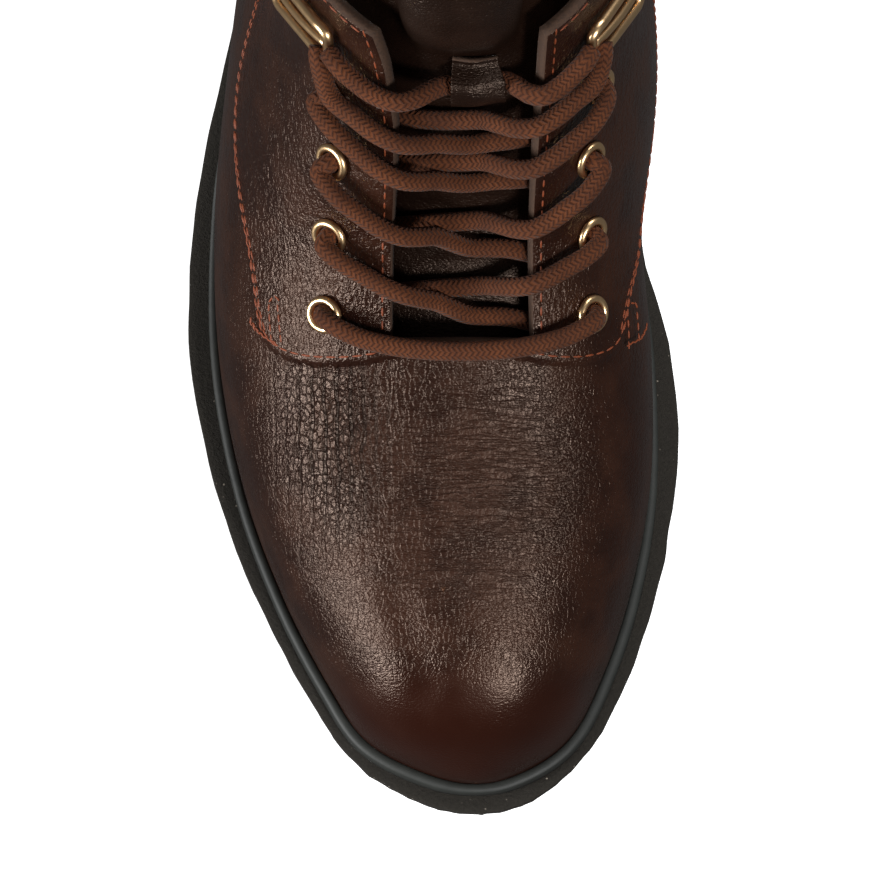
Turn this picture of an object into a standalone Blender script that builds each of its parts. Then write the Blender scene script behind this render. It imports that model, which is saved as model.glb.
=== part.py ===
"""A right lace-up ankle boot, in metres: toe towards -Y, medial side +X, ground at Z 0.

d runs forward from the back of the upper. The upper, tongue, welt, sole and laces
all follow one function, last_point.
"""

import math

import bmesh
import bpy
import numpy as np
from mathutils import Matrix, Vector

LENGTH = 0.262
COLLAR = 0.150
BALL = 0.0456
HEEL_CENTRE = 0.036
GAP = 0.0003

HEEL_BED = 0.036
FORE_BED = 0.019
TOE_SPRING = 0.008

LINING_SIDE = -0.0018
PANEL_STEP = 0.0012

# One row per section from the toe tip to above the collar. front and back are the ends of
# the section on the ridge and on the bottom or the heel: d as a share of LENGTH, z as a
# share of COLLAR. x columns and half widths are shares of BALL. widest is how far up from
# back to front the section is widest; round_f and round_b are its squareness exponents.
SECTION_COLUMNS = (
    "front_d front_z back_d back_z front_x back_x lateral medial widest round_f round_b"
).split()
SECTIONS = {
    "toe_tip": (0.998, 0.222, 0.998, 0.222, 0.155, 0.155, 0.000, 0.000, 0.45, 2.0, 2.0),
    "toe_front": (0.988, 0.283, 0.988, 0.107, 0.145, 0.145, 0.245, 0.235, 0.42, 2.2, 3.0),
    "toe_rise": (0.963, 0.350, 0.963, 0.063, 0.136, 0.136, 0.487, 0.443, 0.40, 2.3, 3.5),
    "toe_crown": (0.920, 0.397, 0.920, 0.043, 0.123, 0.123, 0.640, 0.597, 0.40, 2.3, 4.0),
    "toe_top": (0.847, 0.430, 0.847, 0.033, 0.105, 0.105, 0.838, 0.763, 0.40, 2.3, 4.0),
    "ball": (0.756, 0.473, 0.756, 0.030, 0.092, 0.066, 1.000, 0.890, 0.40, 2.3, 4.0),
    "throat": (0.673, 0.540, 0.640, 0.027, 0.083, 0.022, 1.083, 0.925, 0.38, 2.2, 4.0),
    "instep": (0.612, 0.622, 0.500, 0.063, 0.079, -0.022, 1.070, 0.905, 0.36, 2.1, 3.2),
    "waist": (0.579, 0.732, 0.330, 0.135, 0.079, -0.055, 0.975, 0.955, 0.38, 2.1, 2.3),
    "heel_seat": (0.547, 0.830, 0.130, 0.153, 0.079, -0.033, 0.890, 0.925, 0.42, 2.2, 2.5),
    "heel_back": (0.521, 0.920, 0.016, 0.225, 0.079, 0.000, 0.900, 0.900, 0.46, 2.2, 2.3),
    "ankle": (0.505, 0.985, 0.003, 0.480, 0.079, 0.000, 0.915, 0.885, 0.48, 2.2, 2.1),
    "shaft": (0.493, 1.042, 0.026, 0.747, 0.079, 0.000, 0.930, 0.880, 0.50, 2.2, 2.1),
    "collar": (0.482, 1.095, 0.040, 1.000, 0.079, 0.000, 0.940, 0.880, 0.50, 2.2, 2.1),
    "above": (0.469, 1.165, 0.042, 1.150, 0.079, 0.000, 0.945, 0.880, 0.50, 2.2, 2.1),
}


def section_rows():
    """The section table in metres, with a row before it that lets the toe close round."""
    scale = {"d": LENGTH, "z": COLLAR, "x": BALL, "lateral": BALL, "medial": BALL}
    factor = np.array([scale.get(c.split("_")[-1], 1.0) for c in SECTION_COLUMNS])
    table = np.array(list(SECTIONS.values())) * factor
    before = table[1].copy()
    for name in ("front_z", "back_z"):
        i = SECTION_COLUMNS.index(name)
        before[i] = 2 * table[0][i] - table[1][i]
    for name in ("lateral", "medial"):
        before[SECTION_COLUMNS.index(name)] *= -1
    after = 2 * table[-1] - table[-2]
    return np.vstack([before, table, after])


ROWS = section_rows()


def section(s):
    """The section at lay s, a smooth curve through the table."""
    s = np.asarray(s, float)
    i = np.clip(np.floor(s).astype(int), 0, len(ROWS) - 4)
    u = (s - i)[..., None]
    a, b, c, e = ROWS[i], ROWS[i + 1], ROWS[i + 2], ROWS[i + 3]
    curve = 2 * b + (c - a) * u + (2 * a - 5 * b + 4 * c - e) * u**2
    return np.moveaxis(0.5 * (curve + (3 * b - a - 3 * c + e) * u**3), -1, 0)


def last_point(s, turn):
    """A point of the vamp's outer face: turn is 0 on the ridge, positive to the medial side."""
    fd, fz, bd, bz, fx, bx, lateral, medial, widest, round_f, round_b = section(s)
    cosine, sine = np.cos(turn), np.abs(np.sin(turn))
    power = np.where(cosine >= 0, round_f, round_b)
    radius = (np.abs(cosine) ** power + sine**power) ** (-1 / power)
    reach = np.where(cosine >= 0, 1 - widest, widest)
    up = widest + reach * cosine * radius
    half = np.where(np.sin(turn) > 0, medial, -lateral)
    x = bx + (fx - bx) * up + half * sine * radius
    d = bd + (fd - bd) * up
    z = bz + (fz - bz) * up
    return np.stack([x, HEEL_CENTRE - d, z], -1)


def last_normal(s, turn):
    step = 0.004
    along = last_point(s + step, turn) - last_point(s - step, turn)
    around = last_point(s, turn + step) - last_point(s, turn - step)
    normal = np.cross(around, along)
    return normal / np.linalg.norm(normal, axis=-1, keepdims=True)


def offset_point(s, turn, offset):
    s, turn = np.broadcast_arrays(np.asarray(s, float), np.asarray(turn, float))
    return last_point(s, turn) + last_normal(s, turn) * np.asarray(offset)[..., None]


def smooth_step(t):
    t = np.clip(t, 0, 1)
    return t * t * (3 - 2 * t)


ARCH_START, ARCH_SPAN = 0.26, 0.36
SPRING_START = 0.70


def bed_height(d):
    """Height of the top of the sole, where the upper stands."""
    share = np.asarray(d, float) / LENGTH
    drop = (HEEL_BED - FORE_BED) * (1 - smooth_step((share - ARCH_START) / ARCH_SPAN))
    spring = np.clip((share - SPRING_START) / (1 - SPRING_START), 0, 2)
    return FORE_BED + drop + TOE_SPRING * spring**1.8


def find(function, low, high):
    """The places between low and high where the function changes sign."""
    sign = function(low) > 0
    for _ in range(30):
        middle = (low + high) / 2
        same = (function(middle) > 0) == sign
        low, high = np.where(same, middle, low), np.where(same, high, middle)
    return (low + high) / 2


def turn_at_x(s, x):
    """The turn on the front of section s that has this x."""
    side = 1.0 if x >= last_point(s, 0.0)[0] else -1.0
    return float(find(lambda t: last_point(s, t)[0] - x, 0.0, side * math.pi / 2))


materials = {}


def material(name, colour, roughness, metallic=0.0):
    made = bpy.data.materials.new(name)
    made.use_nodes = True
    shader = made.node_tree.nodes["Principled BSDF"]
    shader.inputs["Base Color"].default_value = (*colour, 1.0)
    shader.inputs["Roughness"].default_value = roughness
    shader.inputs["Metallic"].default_value = metallic
    made.diffuse_color = (*colour, 1.0)
    materials[name] = made


def add_solid(name, points, faces, look=None, smooth=False):
    """A mesh object from points and faces, with its faces turned outwards."""
    mesh = bpy.data.meshes.new(name)
    mesh.from_pydata([tuple(map(float, p)) for p in points], [], faces)
    shape = bmesh.new()
    shape.from_mesh(mesh)
    bmesh.ops.recalc_face_normals(shape, faces=shape.faces)
    shape.to_mesh(mesh)
    shape.free()
    solid = bpy.data.objects.new(name, mesh)
    bpy.context.scene.collection.objects.link(solid)
    if look:
        mesh.materials.append(materials[look])
    else:
        solid.hide_render = True
        solid.display_type = "WIRE"
    for face in mesh.polygons:
        face.use_smooth = smooth
    return solid


def cut(solid, other, operation="DIFFERENCE"):
    modifier = solid.modifiers.new(other.name, "BOOLEAN")
    modifier.operation = operation
    modifier.object = other
    modifier.solver = "EXACT"


def prism_across(name, outline, half_width):
    """A cutter with this side view, a list of (d, z), as wide as twice half_width."""
    count = len(outline)
    points = [(x, HEEL_CENTRE - d, z) for x in (-half_width, half_width) for d, z in outline]
    faces = [[i, (i + 1) % count, count + (i + 1) % count, count + i] for i in range(count)]
    faces += [list(range(count)), list(range(count, 2 * count))]
    return add_solid(name, points, faces)


def join_rings(rings, closed=False):
    """Points and faces of a skin over rings of equal length, capped unless it closes on itself."""
    size, count = len(rings[0]), len(rings)
    points = [p for ring in rings for p in ring]
    faces = []
    for r in range(count if closed else count - 1):
        here, there = r * size, (r + 1) % count * size
        for i in range(size):
            j = (i + 1) % size
            faces.append([here + i, here + j, there + j, there + i])
    if not closed:
        faces += [list(range(size)), list(range((count - 1) * size, count * size))]
    return points, faces


LAYS, ROUND = 35, 34
TOP_LAY = 13.55
OVER_TOP = 0.25
RIDGE_WEIGHT = 0.5


def even_lays(top):
    """Lays from the toe tip to top, close together where the sections change quickly."""
    s = np.linspace(0, top, 400)
    fd, fz, bd, bz, _, _, lateral, _, _, _, _ = section(s)
    moved = np.hypot(np.diff(bd), np.diff(bz)) + RIDGE_WEIGHT * np.hypot(np.diff(fd), np.diff(fz))
    along = np.append(0, np.cumsum(moved + np.abs(np.diff(lateral))))
    return np.interp(np.linspace(0, along[-1], LAYS + 1), along, s)


def last_body(name, offset, top, look=None):
    """The closed body of the last at this offset, from the toe tip to lay top."""
    turns = np.linspace(-math.pi, math.pi, ROUND, endpoint=False)
    tip = last_point(0.0, 0.0) + np.array([0, -offset, 0])
    points, faces = [tip], []
    for s in even_lays(top)[1:]:
        points.extend(offset_point(s, turns, np.full(ROUND, offset)))
    for j in range(ROUND):
        k = (j + 1) % ROUND
        faces.append([0, 1 + j, 1 + k])
        for i in range(LAYS - 1):
            low, high = 1 + i * ROUND, 1 + (i + 1) * ROUND
            faces.append([low + j, high + j, high + k, low + k])
    faces.append([1 + (LAYS - 1) * ROUND + j for j in range(ROUND)])
    return add_solid(name, points, faces, look, smooth=True)


for old in list(bpy.data.objects):
    bpy.data.objects.remove(old, do_unlink=True)

material("leather", (0.055, 0.027, 0.017), 0.45)
material("rubber", (0.012, 0.012, 0.013), 0.8)
material("gold", (0.85, 0.66, 0.42), 0.25, 1.0)
material("lace", (0.06, 0.028, 0.016), 0.85)
material("sock", (0.10, 0.06, 0.04), 0.7)

# Upper

SIDE_REACH = 0.09
LOW, HIGH = -0.06, 0.22

upper = last_body("upper", PANEL_STEP, TOP_LAY, "leather")
cut(upper, last_body("upper_inside", LINING_SIDE, TOP_LAY + OVER_TOP))

# The panel's edge in side view, shares of LENGTH and COLLAR, from above the throat round by
# its lower front corner and up its rear seam.
PANEL_EDGE = [
    (0.668, 1.20),
    (0.668, 0.560),
    (0.683, 0.527),
    (0.689, 0.500),
    (0.684, 0.467),
    (0.672, 0.440),
    (0.653, 0.415),
    (0.605, 0.433),
    (0.555, 0.470),
    (0.505, 0.535),
    (0.462, 0.635),
    (0.432, 0.755),
    (0.414, 0.900),
    (0.405, 1.20),
]
STEP_REACH = 0.007
panel = prism_across("panel", [(d * LENGTH, z * COLLAR) for d, z in PANEL_EDGE], SIDE_REACH)
beside_panel = last_body("beside_panel", STEP_REACH, TOP_LAY)
cut(beside_panel, last_body("beside_panel_inside", 0.0, TOP_LAY + OVER_TOP))
cut(beside_panel, panel)
cut(upper, beside_panel)

COLLAR_LINE = [(-0.10, 0.99), (0.04, 0.985), (0.16, 0.955), (0.30, 0.935), (0.42, 0.945)]
COLLAR_LINE += [(0.50, 0.957), (0.70, 0.965)]
above = [(d * LENGTH, z * COLLAR) for d, z in COLLAR_LINE]
above += [(above[-1][0], HIGH), (above[0][0], HIGH)]
cut(upper, prism_across("above_collar", above, SIDE_REACH))

BED_FROM, BED_TO, BED_STEPS = -0.1, 1.15, 30
line = np.linspace(BED_FROM, BED_TO, BED_STEPS) * LENGTH
below = [(d, float(bed_height(d)) + GAP) for d in line]
below += [(line[-1], LOW), (line[0], LOW)]
cut(upper, prism_across("below_bed", below, SIDE_REACH))

# Throat: x of its lateral and medial edges from the ridge, by lay
THROAT_BASE = 6.0
THROAT_DEPTH = 0.012
THROAT_EDGES = [
    (THROAT_BASE, -0.0140, 0.0144),
    (7.0, -0.0136, 0.0142),
    (8.0, -0.0128, 0.0144),
    (9.0, -0.0126, 0.0150),
    (10.0, -0.0142, 0.0156),
    (11.0, -0.0168, 0.0160),
    (12.0, -0.0205, 0.0172),
    (13.4, -0.0235, 0.0190),
]


def throat_x(s):
    lays, lateral, medial = zip(*THROAT_EDGES)
    ridge = float(last_point(s, 0.0)[0])
    return ridge + np.interp(s, lays, lateral), ridge + np.interp(s, lays, medial)


rings = []
for s in np.linspace(THROAT_BASE, THROAT_EDGES[-1][0], 16):
    left, right = throat_x(s)
    deep, high = offset_point(s, 0.0, np.array([-THROAT_DEPTH, THROAT_DEPTH]))
    corners = ((left, deep), (right, deep), (right, high), (left, high))
    rings.append([(x, *end[1:]) for x, end in corners])
cut(upper, add_solid("throat", *join_rings(rings)))

# Eyelets: lay and x from the ridge, on the lateral and on the medial side, row by row
EYELET_ROWS = [
    ((6.28, -0.0268), (6.28, 0.0258)),
    ((7.15, -0.0254), (7.12, 0.0255)),
    ((8.15, -0.0242), (8.13, 0.0246)),
    ((9.00, -0.0240), (8.98, 0.0264)),
]
SIDES = 12
FLANGE_R, HOLE_R, BARREL_R, WALL_HOLE_R = 0.0040, 0.0023, 0.00275, 0.0031
FLANGE_T = 0.0009
BARREL_DROP = 0.0036
SEAT_LIFT = 0.0004
PUNCH = 0.008


def ridge_x(s):
    return float(last_point(s, 0.0)[0])


def seat(s, x, offset):
    """A place on the facing and the turn that sets +Z along its outward normal."""
    turn = turn_at_x(s, x)
    normal = Vector(last_normal(s, turn))
    across_foot = Vector((1, 0, 0))
    along = normal.cross(across_foot).normalized()
    frame = Matrix((along.cross(normal), along, normal)).transposed().to_4x4()
    frame.translation = Vector(offset_point(s, turn, offset))
    return frame


def lathe_rings(profile, frame):
    angles = [2 * math.pi * i / SIDES for i in range(SIDES)]
    return [
        [frame @ Vector((r * math.cos(a), r * math.sin(a), z)) for a in angles] for r, z in profile
    ]


for row, places in enumerate(EYELET_ROWS, 1):
    for (s, x), letter in zip(places, "lr"):
        frame = seat(s, ridge_x(s) + x, PANEL_STEP + SEAT_LIFT)
        profile = [
            (BARREL_R, -BARREL_DROP),
            (BARREL_R, GAP),
            (FLANGE_R, GAP),
            ((FLANGE_R + HOLE_R) / 2, GAP + FLANGE_T),
            (HOLE_R, GAP + 0.5 * FLANGE_T),
            (HOLE_R, -BARREL_DROP),
        ]
        rings = lathe_rings(profile, frame)
        add_solid(f"eyelet_{letter}{row}", *join_rings(rings, closed=True), "gold", smooth=True)
        bore = [(WALL_HOLE_R, -PUNCH), (WALL_HOLE_R, PUNCH)]
        rings = lathe_rings(bore, frame)
        cut(upper, add_solid(f"bore_{letter}{row}", *join_rings(rings)))

# Sole: the outline of the upper at the bed, then rings set out from it

SIDE_POINTS = 34
FOOT_POINTS = 90


def foot_line(offset, over):
    """Points (x, y) of each side where the last at this offset stands this far over the bed."""

    def excess(s, turn):
        x, y, z = np.moveaxis(offset_point(s, turn, offset), -1, 0)
        return z - bed_height(HEEL_CENTRE - y) - over

    under = math.pi * 0.999
    toe = find(lambda s: excess(s, under), 0.02, 3.0)
    heel = find(lambda s: excess(s, under), 9.0, 10.5)
    s = toe + (heel - toe) * (1 - np.cos(np.linspace(0, math.pi, FOOT_POINTS))) / 2
    lines = []
    for side in (-1, 1):
        start, stop = np.full(FOOT_POINTS, math.pi / 3), np.full(FOOT_POINTS, under)
        turn = find(lambda t: excess(s, side * t), start, stop)
        lines.append(offset_point(s, side * turn, offset)[:, :2])
    return lines


def set_out(lines, ledge):
    """The foot line moved outwards in plan by ledge, a length or a function of the share of d."""
    ring = np.vstack([lines[0], lines[1][::-1]])
    keep = np.linalg.norm(np.diff(ring, axis=0, append=ring[:1]), axis=1) > 1e-5
    ring = ring[keep]
    tangent = np.roll(ring, -2, axis=0) - np.roll(ring, 2, axis=0)
    normal = np.stack([tangent[:, 1], -tangent[:, 0]], -1)
    normal /= np.linalg.norm(normal, axis=1, keepdims=True)
    centre = ring.mean(axis=0)
    if ((ring - centre) * normal).sum() < 0:
        normal = -normal
    width = ledge(ring) if callable(ledge) else ledge
    ring = ring + normal * np.reshape(width, (-1, 1))
    return ring


def paired(ring, extra=()):
    """The ring as rows (y, lateral x, medial x), close together at toe and heel."""
    toe, heel = ring[:, 1].argmin(), ring[:, 1].argmax()
    ends = ring[toe], ring[heel]
    share = (1 - np.cos(np.linspace(0, math.pi, SIDE_POINTS + 2))) / 2
    ys = np.sort(np.append(ends[0][1] + (ends[1][1] - ends[0][1]) * share[1:-1], extra))
    order = [np.roll(ring, -toe, axis=0), np.roll(ring[::-1], toe + 1, axis=0)]
    rows = []
    for path in order:
        stop = path[:, 1].argmax() + 1
        rows.append(np.interp(ys, path[:stop, 1], path[:stop, 0]))
    rows.sort(key=lambda x: x.mean())
    return ends, ys, rows[0], rows[1]


def ring_points(pairs, height):
    """A closed ring of points from pairs, z from a function of d."""
    (toe, heel), ys, lateral, medial = pairs
    plan = [tuple(toe)] + list(zip(medial, ys)) + [tuple(heel)]
    plan += list(zip(lateral, ys))[::-1]
    return [(x, y, float(height(HEEL_CENTRE - y))) for x, y in plan]


def strips(size, base):
    """Faces across a ring of this size that starts at index base: toe, strips, heel."""
    half = (size - 2) // 2
    medial = [base + 1 + i for i in range(half)]
    lateral = [base + size - 1 - i for i in range(half)]
    faces = [[base, medial[0], lateral[0]], [base + 1 + half, medial[-1], lateral[-1]]]
    for i in range(half - 1):
        faces.append([lateral[i], medial[i], medial[i + 1], lateral[i + 1]])
    return faces


def stack(name, rings, look):
    """A solid whose sides run from ring to ring, closed by strips across the first and last."""
    size = len(rings[0])
    points, faces = join_rings(rings)
    faces = faces[:-2] + strips(size, 0) + strips(size, (len(rings) - 1) * size)
    return add_solid(name, points, faces, look)


# Ledge of the sole beyond the upper: share of LENGTH, lateral and medial width
LEDGE = [
    (0.00, 0.0046, 0.0046),
    (0.25, 0.0058, 0.0040),
    (0.50, 0.0064, 0.0036),
    (0.57, 0.0070, 0.0036),
    (0.63, 0.0070, 0.0064),
    (0.70, 0.0065, 0.0073),
    (0.77, 0.0058, 0.0062),
    (0.85, 0.0051, 0.0054),
    (0.92, 0.0048, 0.0049),
    (0.965, 0.0044, 0.0044),
    (1.00, 0.0064, 0.0064),
]
EDGE_T = 0.0045
EDGE_STEP = 0.0008
WALL_TAPER = 0.0016
HEEL_BREAST = 0.074
BREAST_SLOPE = 0.002
ARCH_RISE = 0.013
ARCH_END = 0.148
TREAD_SPRING_START = 0.200
TREAD_SPRING = 0.0095
TREAD_SPRING_END = 0.268
BOTTOM_ROUND = 0.0012


def ledge_width(plan):
    """Width of the ledge at each point of plan, blended from side to side at toe and heel."""
    places, lateral, medial = zip(*LEDGE)
    share = (HEEL_CENTRE - plan[:, 1]) / LENGTH
    side = smooth_step(plan[:, 0] / BALL + 0.5)
    return np.interp(share, places, lateral) * (1 - side) + np.interp(share, places, medial) * side


def tread_height(d):
    """Height of the underside of the sole."""
    if d < HEEL_BREAST:
        return 0.0
    if d < ARCH_END:
        past = (d - HEEL_BREAST - BREAST_SLOPE) / (ARCH_END - HEEL_BREAST - BREAST_SLOPE)
        return ARCH_RISE * float(1 - smooth_step(past)) if past >= 0 else 0.0
    past = max(d - TREAD_SPRING_START, 0.0) / (TREAD_SPRING_END - TREAD_SPRING_START)
    return TREAD_SPRING * past**1.7


outer_line = foot_line(0.0, GAP)
BREAST_YS = [HEEL_CENTRE - HEEL_BREAST + 1e-6, HEEL_CENTRE - HEEL_BREAST - BREAST_SLOPE]
levels = []
for inset, height in (
    (0.0, bed_height),
    (0.0, lambda d: bed_height(d) - EDGE_T),
    (EDGE_STEP, lambda d: bed_height(d) - EDGE_T),
    (WALL_TAPER, lambda d: tread_height(d) + BOTTOM_ROUND),
    (WALL_TAPER + BOTTOM_ROUND, tread_height),
):
    ring = set_out(outer_line, lambda plan: ledge_width(plan) - inset)
    levels.append(ring_points(paired(ring, BREAST_YS), height))
outsole = stack("outsole", levels, "rubber")

# Lugs: channels across the tread, d of each, and a channel along the forefoot
CHANNEL_DEPTH = 0.0035
CHANNEL_W = 0.005
CHANNELS_AT = [0.014, 0.030, 0.046, 0.062, 0.160, 0.176, 0.192, 0.208, 0.224, 0.240]
CHANNEL_REACH = 0.030
for i, d in enumerate(CHANNELS_AT):
    roof = tread_height(d) + CHANNEL_DEPTH
    sides = [(d - CHANNEL_W / 2, LOW), (d + CHANNEL_W / 2, LOW), (d + CHANNEL_W / 2, roof)]
    sides += [(d - CHANNEL_W / 2, roof)]
    cut(outsole, prism_across(f"channel_{i}", sides, SIDE_REACH if i % 2 else CHANNEL_REACH))

# Welt: a band round the foot of the upper
WELT_W = 0.0022
WELT_H = 0.0042
WELT_PLAY = 0.0005
# Height over the bed of each corner of the band, the height where its line is taken from
# the upper, and how far out from that line it lies
WELT_VIEW = [
    (GAP, GAP, WELT_PLAY),
    (WELT_H / 2, WELT_H / 2, WELT_PLAY),
    (WELT_H, WELT_H, WELT_PLAY),
    (WELT_H - 0.0006, WELT_H / 2, WELT_W),
    (GAP, GAP, WELT_W + GAP),
]
welt_rings = []
for over, line_over, out in WELT_VIEW:
    edge = set_out(foot_line(0.0, line_over), out)
    height = lambda d, over=over: bed_height(d) + over
    welt_rings.append(ring_points(paired(edge), height))
add_solid("welt", *join_rings(welt_rings, closed=True), "rubber")

# Insole
INSOLE_T = 0.003
INSOLE_PLAY = 0.0024
inner_line = foot_line(LINING_SIDE, GAP)
edge = paired(set_out(inner_line, -INSOLE_PLAY))
insole_rings = [ring_points(edge, lambda d: bed_height(d) + GAP)]
insole_rings.append(ring_points(edge, lambda d: bed_height(d) + GAP + INSOLE_T))
stack("insole", insole_rings, "sock")

# Tongue: half width, offset of its outer face and forward push of its padded top, by lay
TONGUE_T = 0.0024
TONGUE = [
    (5.0, 0.020, -0.0022, 0.0),
    (5.45, 0.022, -0.0034, 0.0),
    (5.95, 0.025, -0.0070, 0.0),
    (6.5, 0.027, -0.0070, 0.0),
    (7.0, 0.028, -0.0070, 0.0),
    (7.5, 0.028, -0.0070, 0.0),
    (8.0, 0.029, -0.0070, 0.0),
    (8.6, 0.029, -0.0070, 0.0),
    (9.3, 0.030, -0.0070, 0.0),
    (9.98, 0.030, -0.0070, 0.0),
    (10.25, 0.030, -0.0070, 0.0028),
    (10.7, 0.030, -0.0070, 0.0062),
    (11.3, 0.030, -0.0070, 0.0088),
    (12.2, 0.030, -0.0068, 0.0100),
    (13.0, 0.030, -0.0062, 0.0090),
    (13.5, 0.029, -0.0056, 0.0076),
    (13.8, 0.026, -0.0052, 0.0060),
]
TONGUE_ACROSS = 12
PAD_HALF = 0.0155
rings = []
for s, half, face, push in TONGUE:
    outer, inner = [], []
    for share in np.linspace(-1, 1, TONGUE_ACROSS + 1):
        turn = turn_at_x(s, ridge_x(s) + half * share)
        place = face + push * (1 - min(abs(half * share) / PAD_HALF, 1) ** 3)
        thin = TONGUE_T * (1 - 0.5 * share**6)
        outer.append(offset_point(s, turn, place))
        inner.append(offset_point(s, turn, place - thin))
    rings.append(outer + inner[::-1])
add_solid("tongue", *join_rings(rings), "leather", smooth=True)

# Strap on the tongue: side view as (length up the tongue, offset), arched over the top lace
STRAP_LAY = 9.12
LAY_LENGTH = 0.0175
STRAP_X = (-0.0020, 0.0092)
STRAP_VIEW = [(0.0, -0.0054), (0.0016, -0.0054), (0.0034, -0.0009), (0.0101, -0.0009)]
STRAP_VIEW += [(0.0119, -0.0054), (0.0135, -0.0054), (0.0135, -0.0067), (0.0112, -0.0067)]
STRAP_VIEW += [(0.0094, -0.0020), (0.0041, -0.0020), (0.0023, -0.0067), (0.0, -0.0067)]
rings = []
for x in np.linspace(*STRAP_X, 4):
    rings.append([])
    for up, offset in STRAP_VIEW:
        s = STRAP_LAY + up / LAY_LENGTH
        rings[-1].append(offset_point(s, turn_at_x(s, ridge_x(s) + x), offset))
add_solid("tongue_strap", *join_rings(rings), "leather")

# Laces: paths as (lay, x from the ridge, offset of the centre line)
LACE_R = 0.0020
LACE_SIDES = 6


def tube(name, path, radius, look=None, closed=False):
    """A round bar along path."""
    path = [Vector(p) for p in path]
    count = len(path)
    rings = []
    side = None
    for i, p in enumerate(path):
        before = path[i - 1] if closed or i else path[0]
        after = path[(i + 1) % count] if closed or i + 1 < count else path[-1]
        along = (after - before).normalized()
        side = (side or Vector((0, 0, 1))).cross(along).cross(along).normalized() * -1
        lift = along.cross(side)
        angles = [2 * math.pi * k / LACE_SIDES for k in range(LACE_SIDES)]
        rings.append([p + (side * math.cos(a) + lift * math.sin(a)) * radius for a in angles])
    return add_solid(name, *join_rings(rings, closed), look, smooth=True)


def over_foot(path):
    return [offset_point(s, turn_at_x(s, ridge_x(s) + x), offset) for s, x, offset in path]


# A strand leaves the throat low on one side and climbs over the facing on the other:
# (x towards its eyelet, share of the way from its middle lay to its eyelet's, offset)
STRAND = [
    (-0.0118, -0.04, -0.0043),
    (-0.0080, -0.02, -0.0044),
    (-0.0020, 0.00, -0.0042),
    (0.0015, 0.13, -0.0032),
    (0.0050, 0.30, -0.0016),
    (0.0080, 0.36, 0.0009),
    (0.0110, 0.41, 0.0034),
    (0.0145, 0.50, 0.0041),
    (0.0180, 0.60, 0.0042),
    (0.0218, 0.77, 0.0049),
    (0.0252, 0.95, 0.0052),
]
LOW_STRAND = [
    (-0.0118, -0.04, -0.0044),
    (-0.0050, 0.00, -0.0044),
    (0.0000, 0.02, -0.0044),
    (0.0050, 0.06, -0.0038),
    (0.0080, 0.12, -0.0016),
    (0.0106, 0.20, 0.0013),
    (0.0132, 0.30, 0.0035),
    (0.0160, 0.42, 0.0041),
    (0.0190, 0.57, 0.0043),
    (0.0222, 0.75, 0.0049),
    (0.0252, 0.95, 0.0052),
]
# Middle lays of the strand to the medial eyelet and of the one to the lateral eyelet, and
# the lays where they end, for the pair that climbs to each row
STRAND_ROWS = {
    2: (6.43, 6.17, 7.12, 7.15, 11),
    3: (7.15, 6.88, 8.13, 8.15, 11),
    4: (8.16, 7.84, 8.98, 9.00, 11),
    5: (8.86, 8.50, 9.60, 9.45, 10),
}
for row, (low_lay, high_lay, medial_end, lateral_end, kept) in STRAND_ROWS.items():
    low = [(low_lay + (medial_end - low_lay) * w, x, o) for x, w, o in LOW_STRAND[:kept]]
    high = [(high_lay + (lateral_end - high_lay) * w, -x, o) for x, w, o in STRAND[:kept]]
    strand = tube(f"lace_cross_{row}", over_foot(low), LACE_R, "lace")
    other = tube(f"strand_{row}", over_foot(high), LACE_R * 0.995)
    cut(strand, other, "UNION")

BAR = [(0.0, 5.94, 0.0039), (0.010, 5.97, 0.0039), (0.018, 6.06, 0.0042), (0.0225, 6.17, 0.0049)]
BAR += [(0.0252, 6.28, 0.0052)]
path = [(s, -x, o) for x, s, o in BAR[:0:-1]] + [(s, x, o) for x, s, o in BAR]
tube("lace_bar", over_foot(path), LACE_R, "lace")

TOP_LACE = [
    (9.92, -0.0205, 0.0046),
    (9.78, -0.0182, 0.0043),
    (9.66, -0.0148, 0.0041),
    (9.60, -0.0112, 0.0034),
    (9.57, -0.0084, 0.0010),
    (9.54, -0.0062, -0.0020),
    (9.51, -0.0036, -0.0041),
    (9.50, 0.0000, -0.0044),
    (9.50, 0.0095, -0.0044),
    (9.53, 0.0112, -0.0028),
    (9.56, 0.0120, -0.0006),
    (9.59, 0.0127, 0.0018),
    (9.63, 0.0142, 0.0038),
    (9.70, 0.0168, 0.0042),
    (9.82, 0.0190, 0.0044),
    (9.92, 0.0205, 0.0046),
]
tube("lace_top", over_foot(TOP_LACE), LACE_R, "lace")

# Gold loops at the fifth row: a rounded oblong with one bar along it, bent round the shaft.
# Lay of each and how far round from the ridge its middle is
LOOP_LAY = (10.05, 9.98)
LOOP_ROUND = 0.039
LOOP_HALF, LOOP_RISE = 0.0115, 0.0058
LOOP_CORNER = 0.0032
LOOP_R = 0.0011
LOOP_LIFT = 0.0008
CORNER_STEPS = 5


def on_shaft(side, around, up):
    """A place this far round from the ridge and this far up from the loop's lay."""
    s = LOOP_LAY[side] + up / LAY_LENGTH
    turns = np.linspace(0, (-1, 1)[side] * math.pi / 2, 90)
    steps = np.linalg.norm(np.diff(last_point(np.full(90, s), turns), axis=0), axis=1)
    turn = float(np.interp(around, np.append(0, np.cumsum(steps)), turns))
    return offset_point(s, turn, PANEL_STEP + LOOP_R + LOOP_LIFT)


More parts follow.
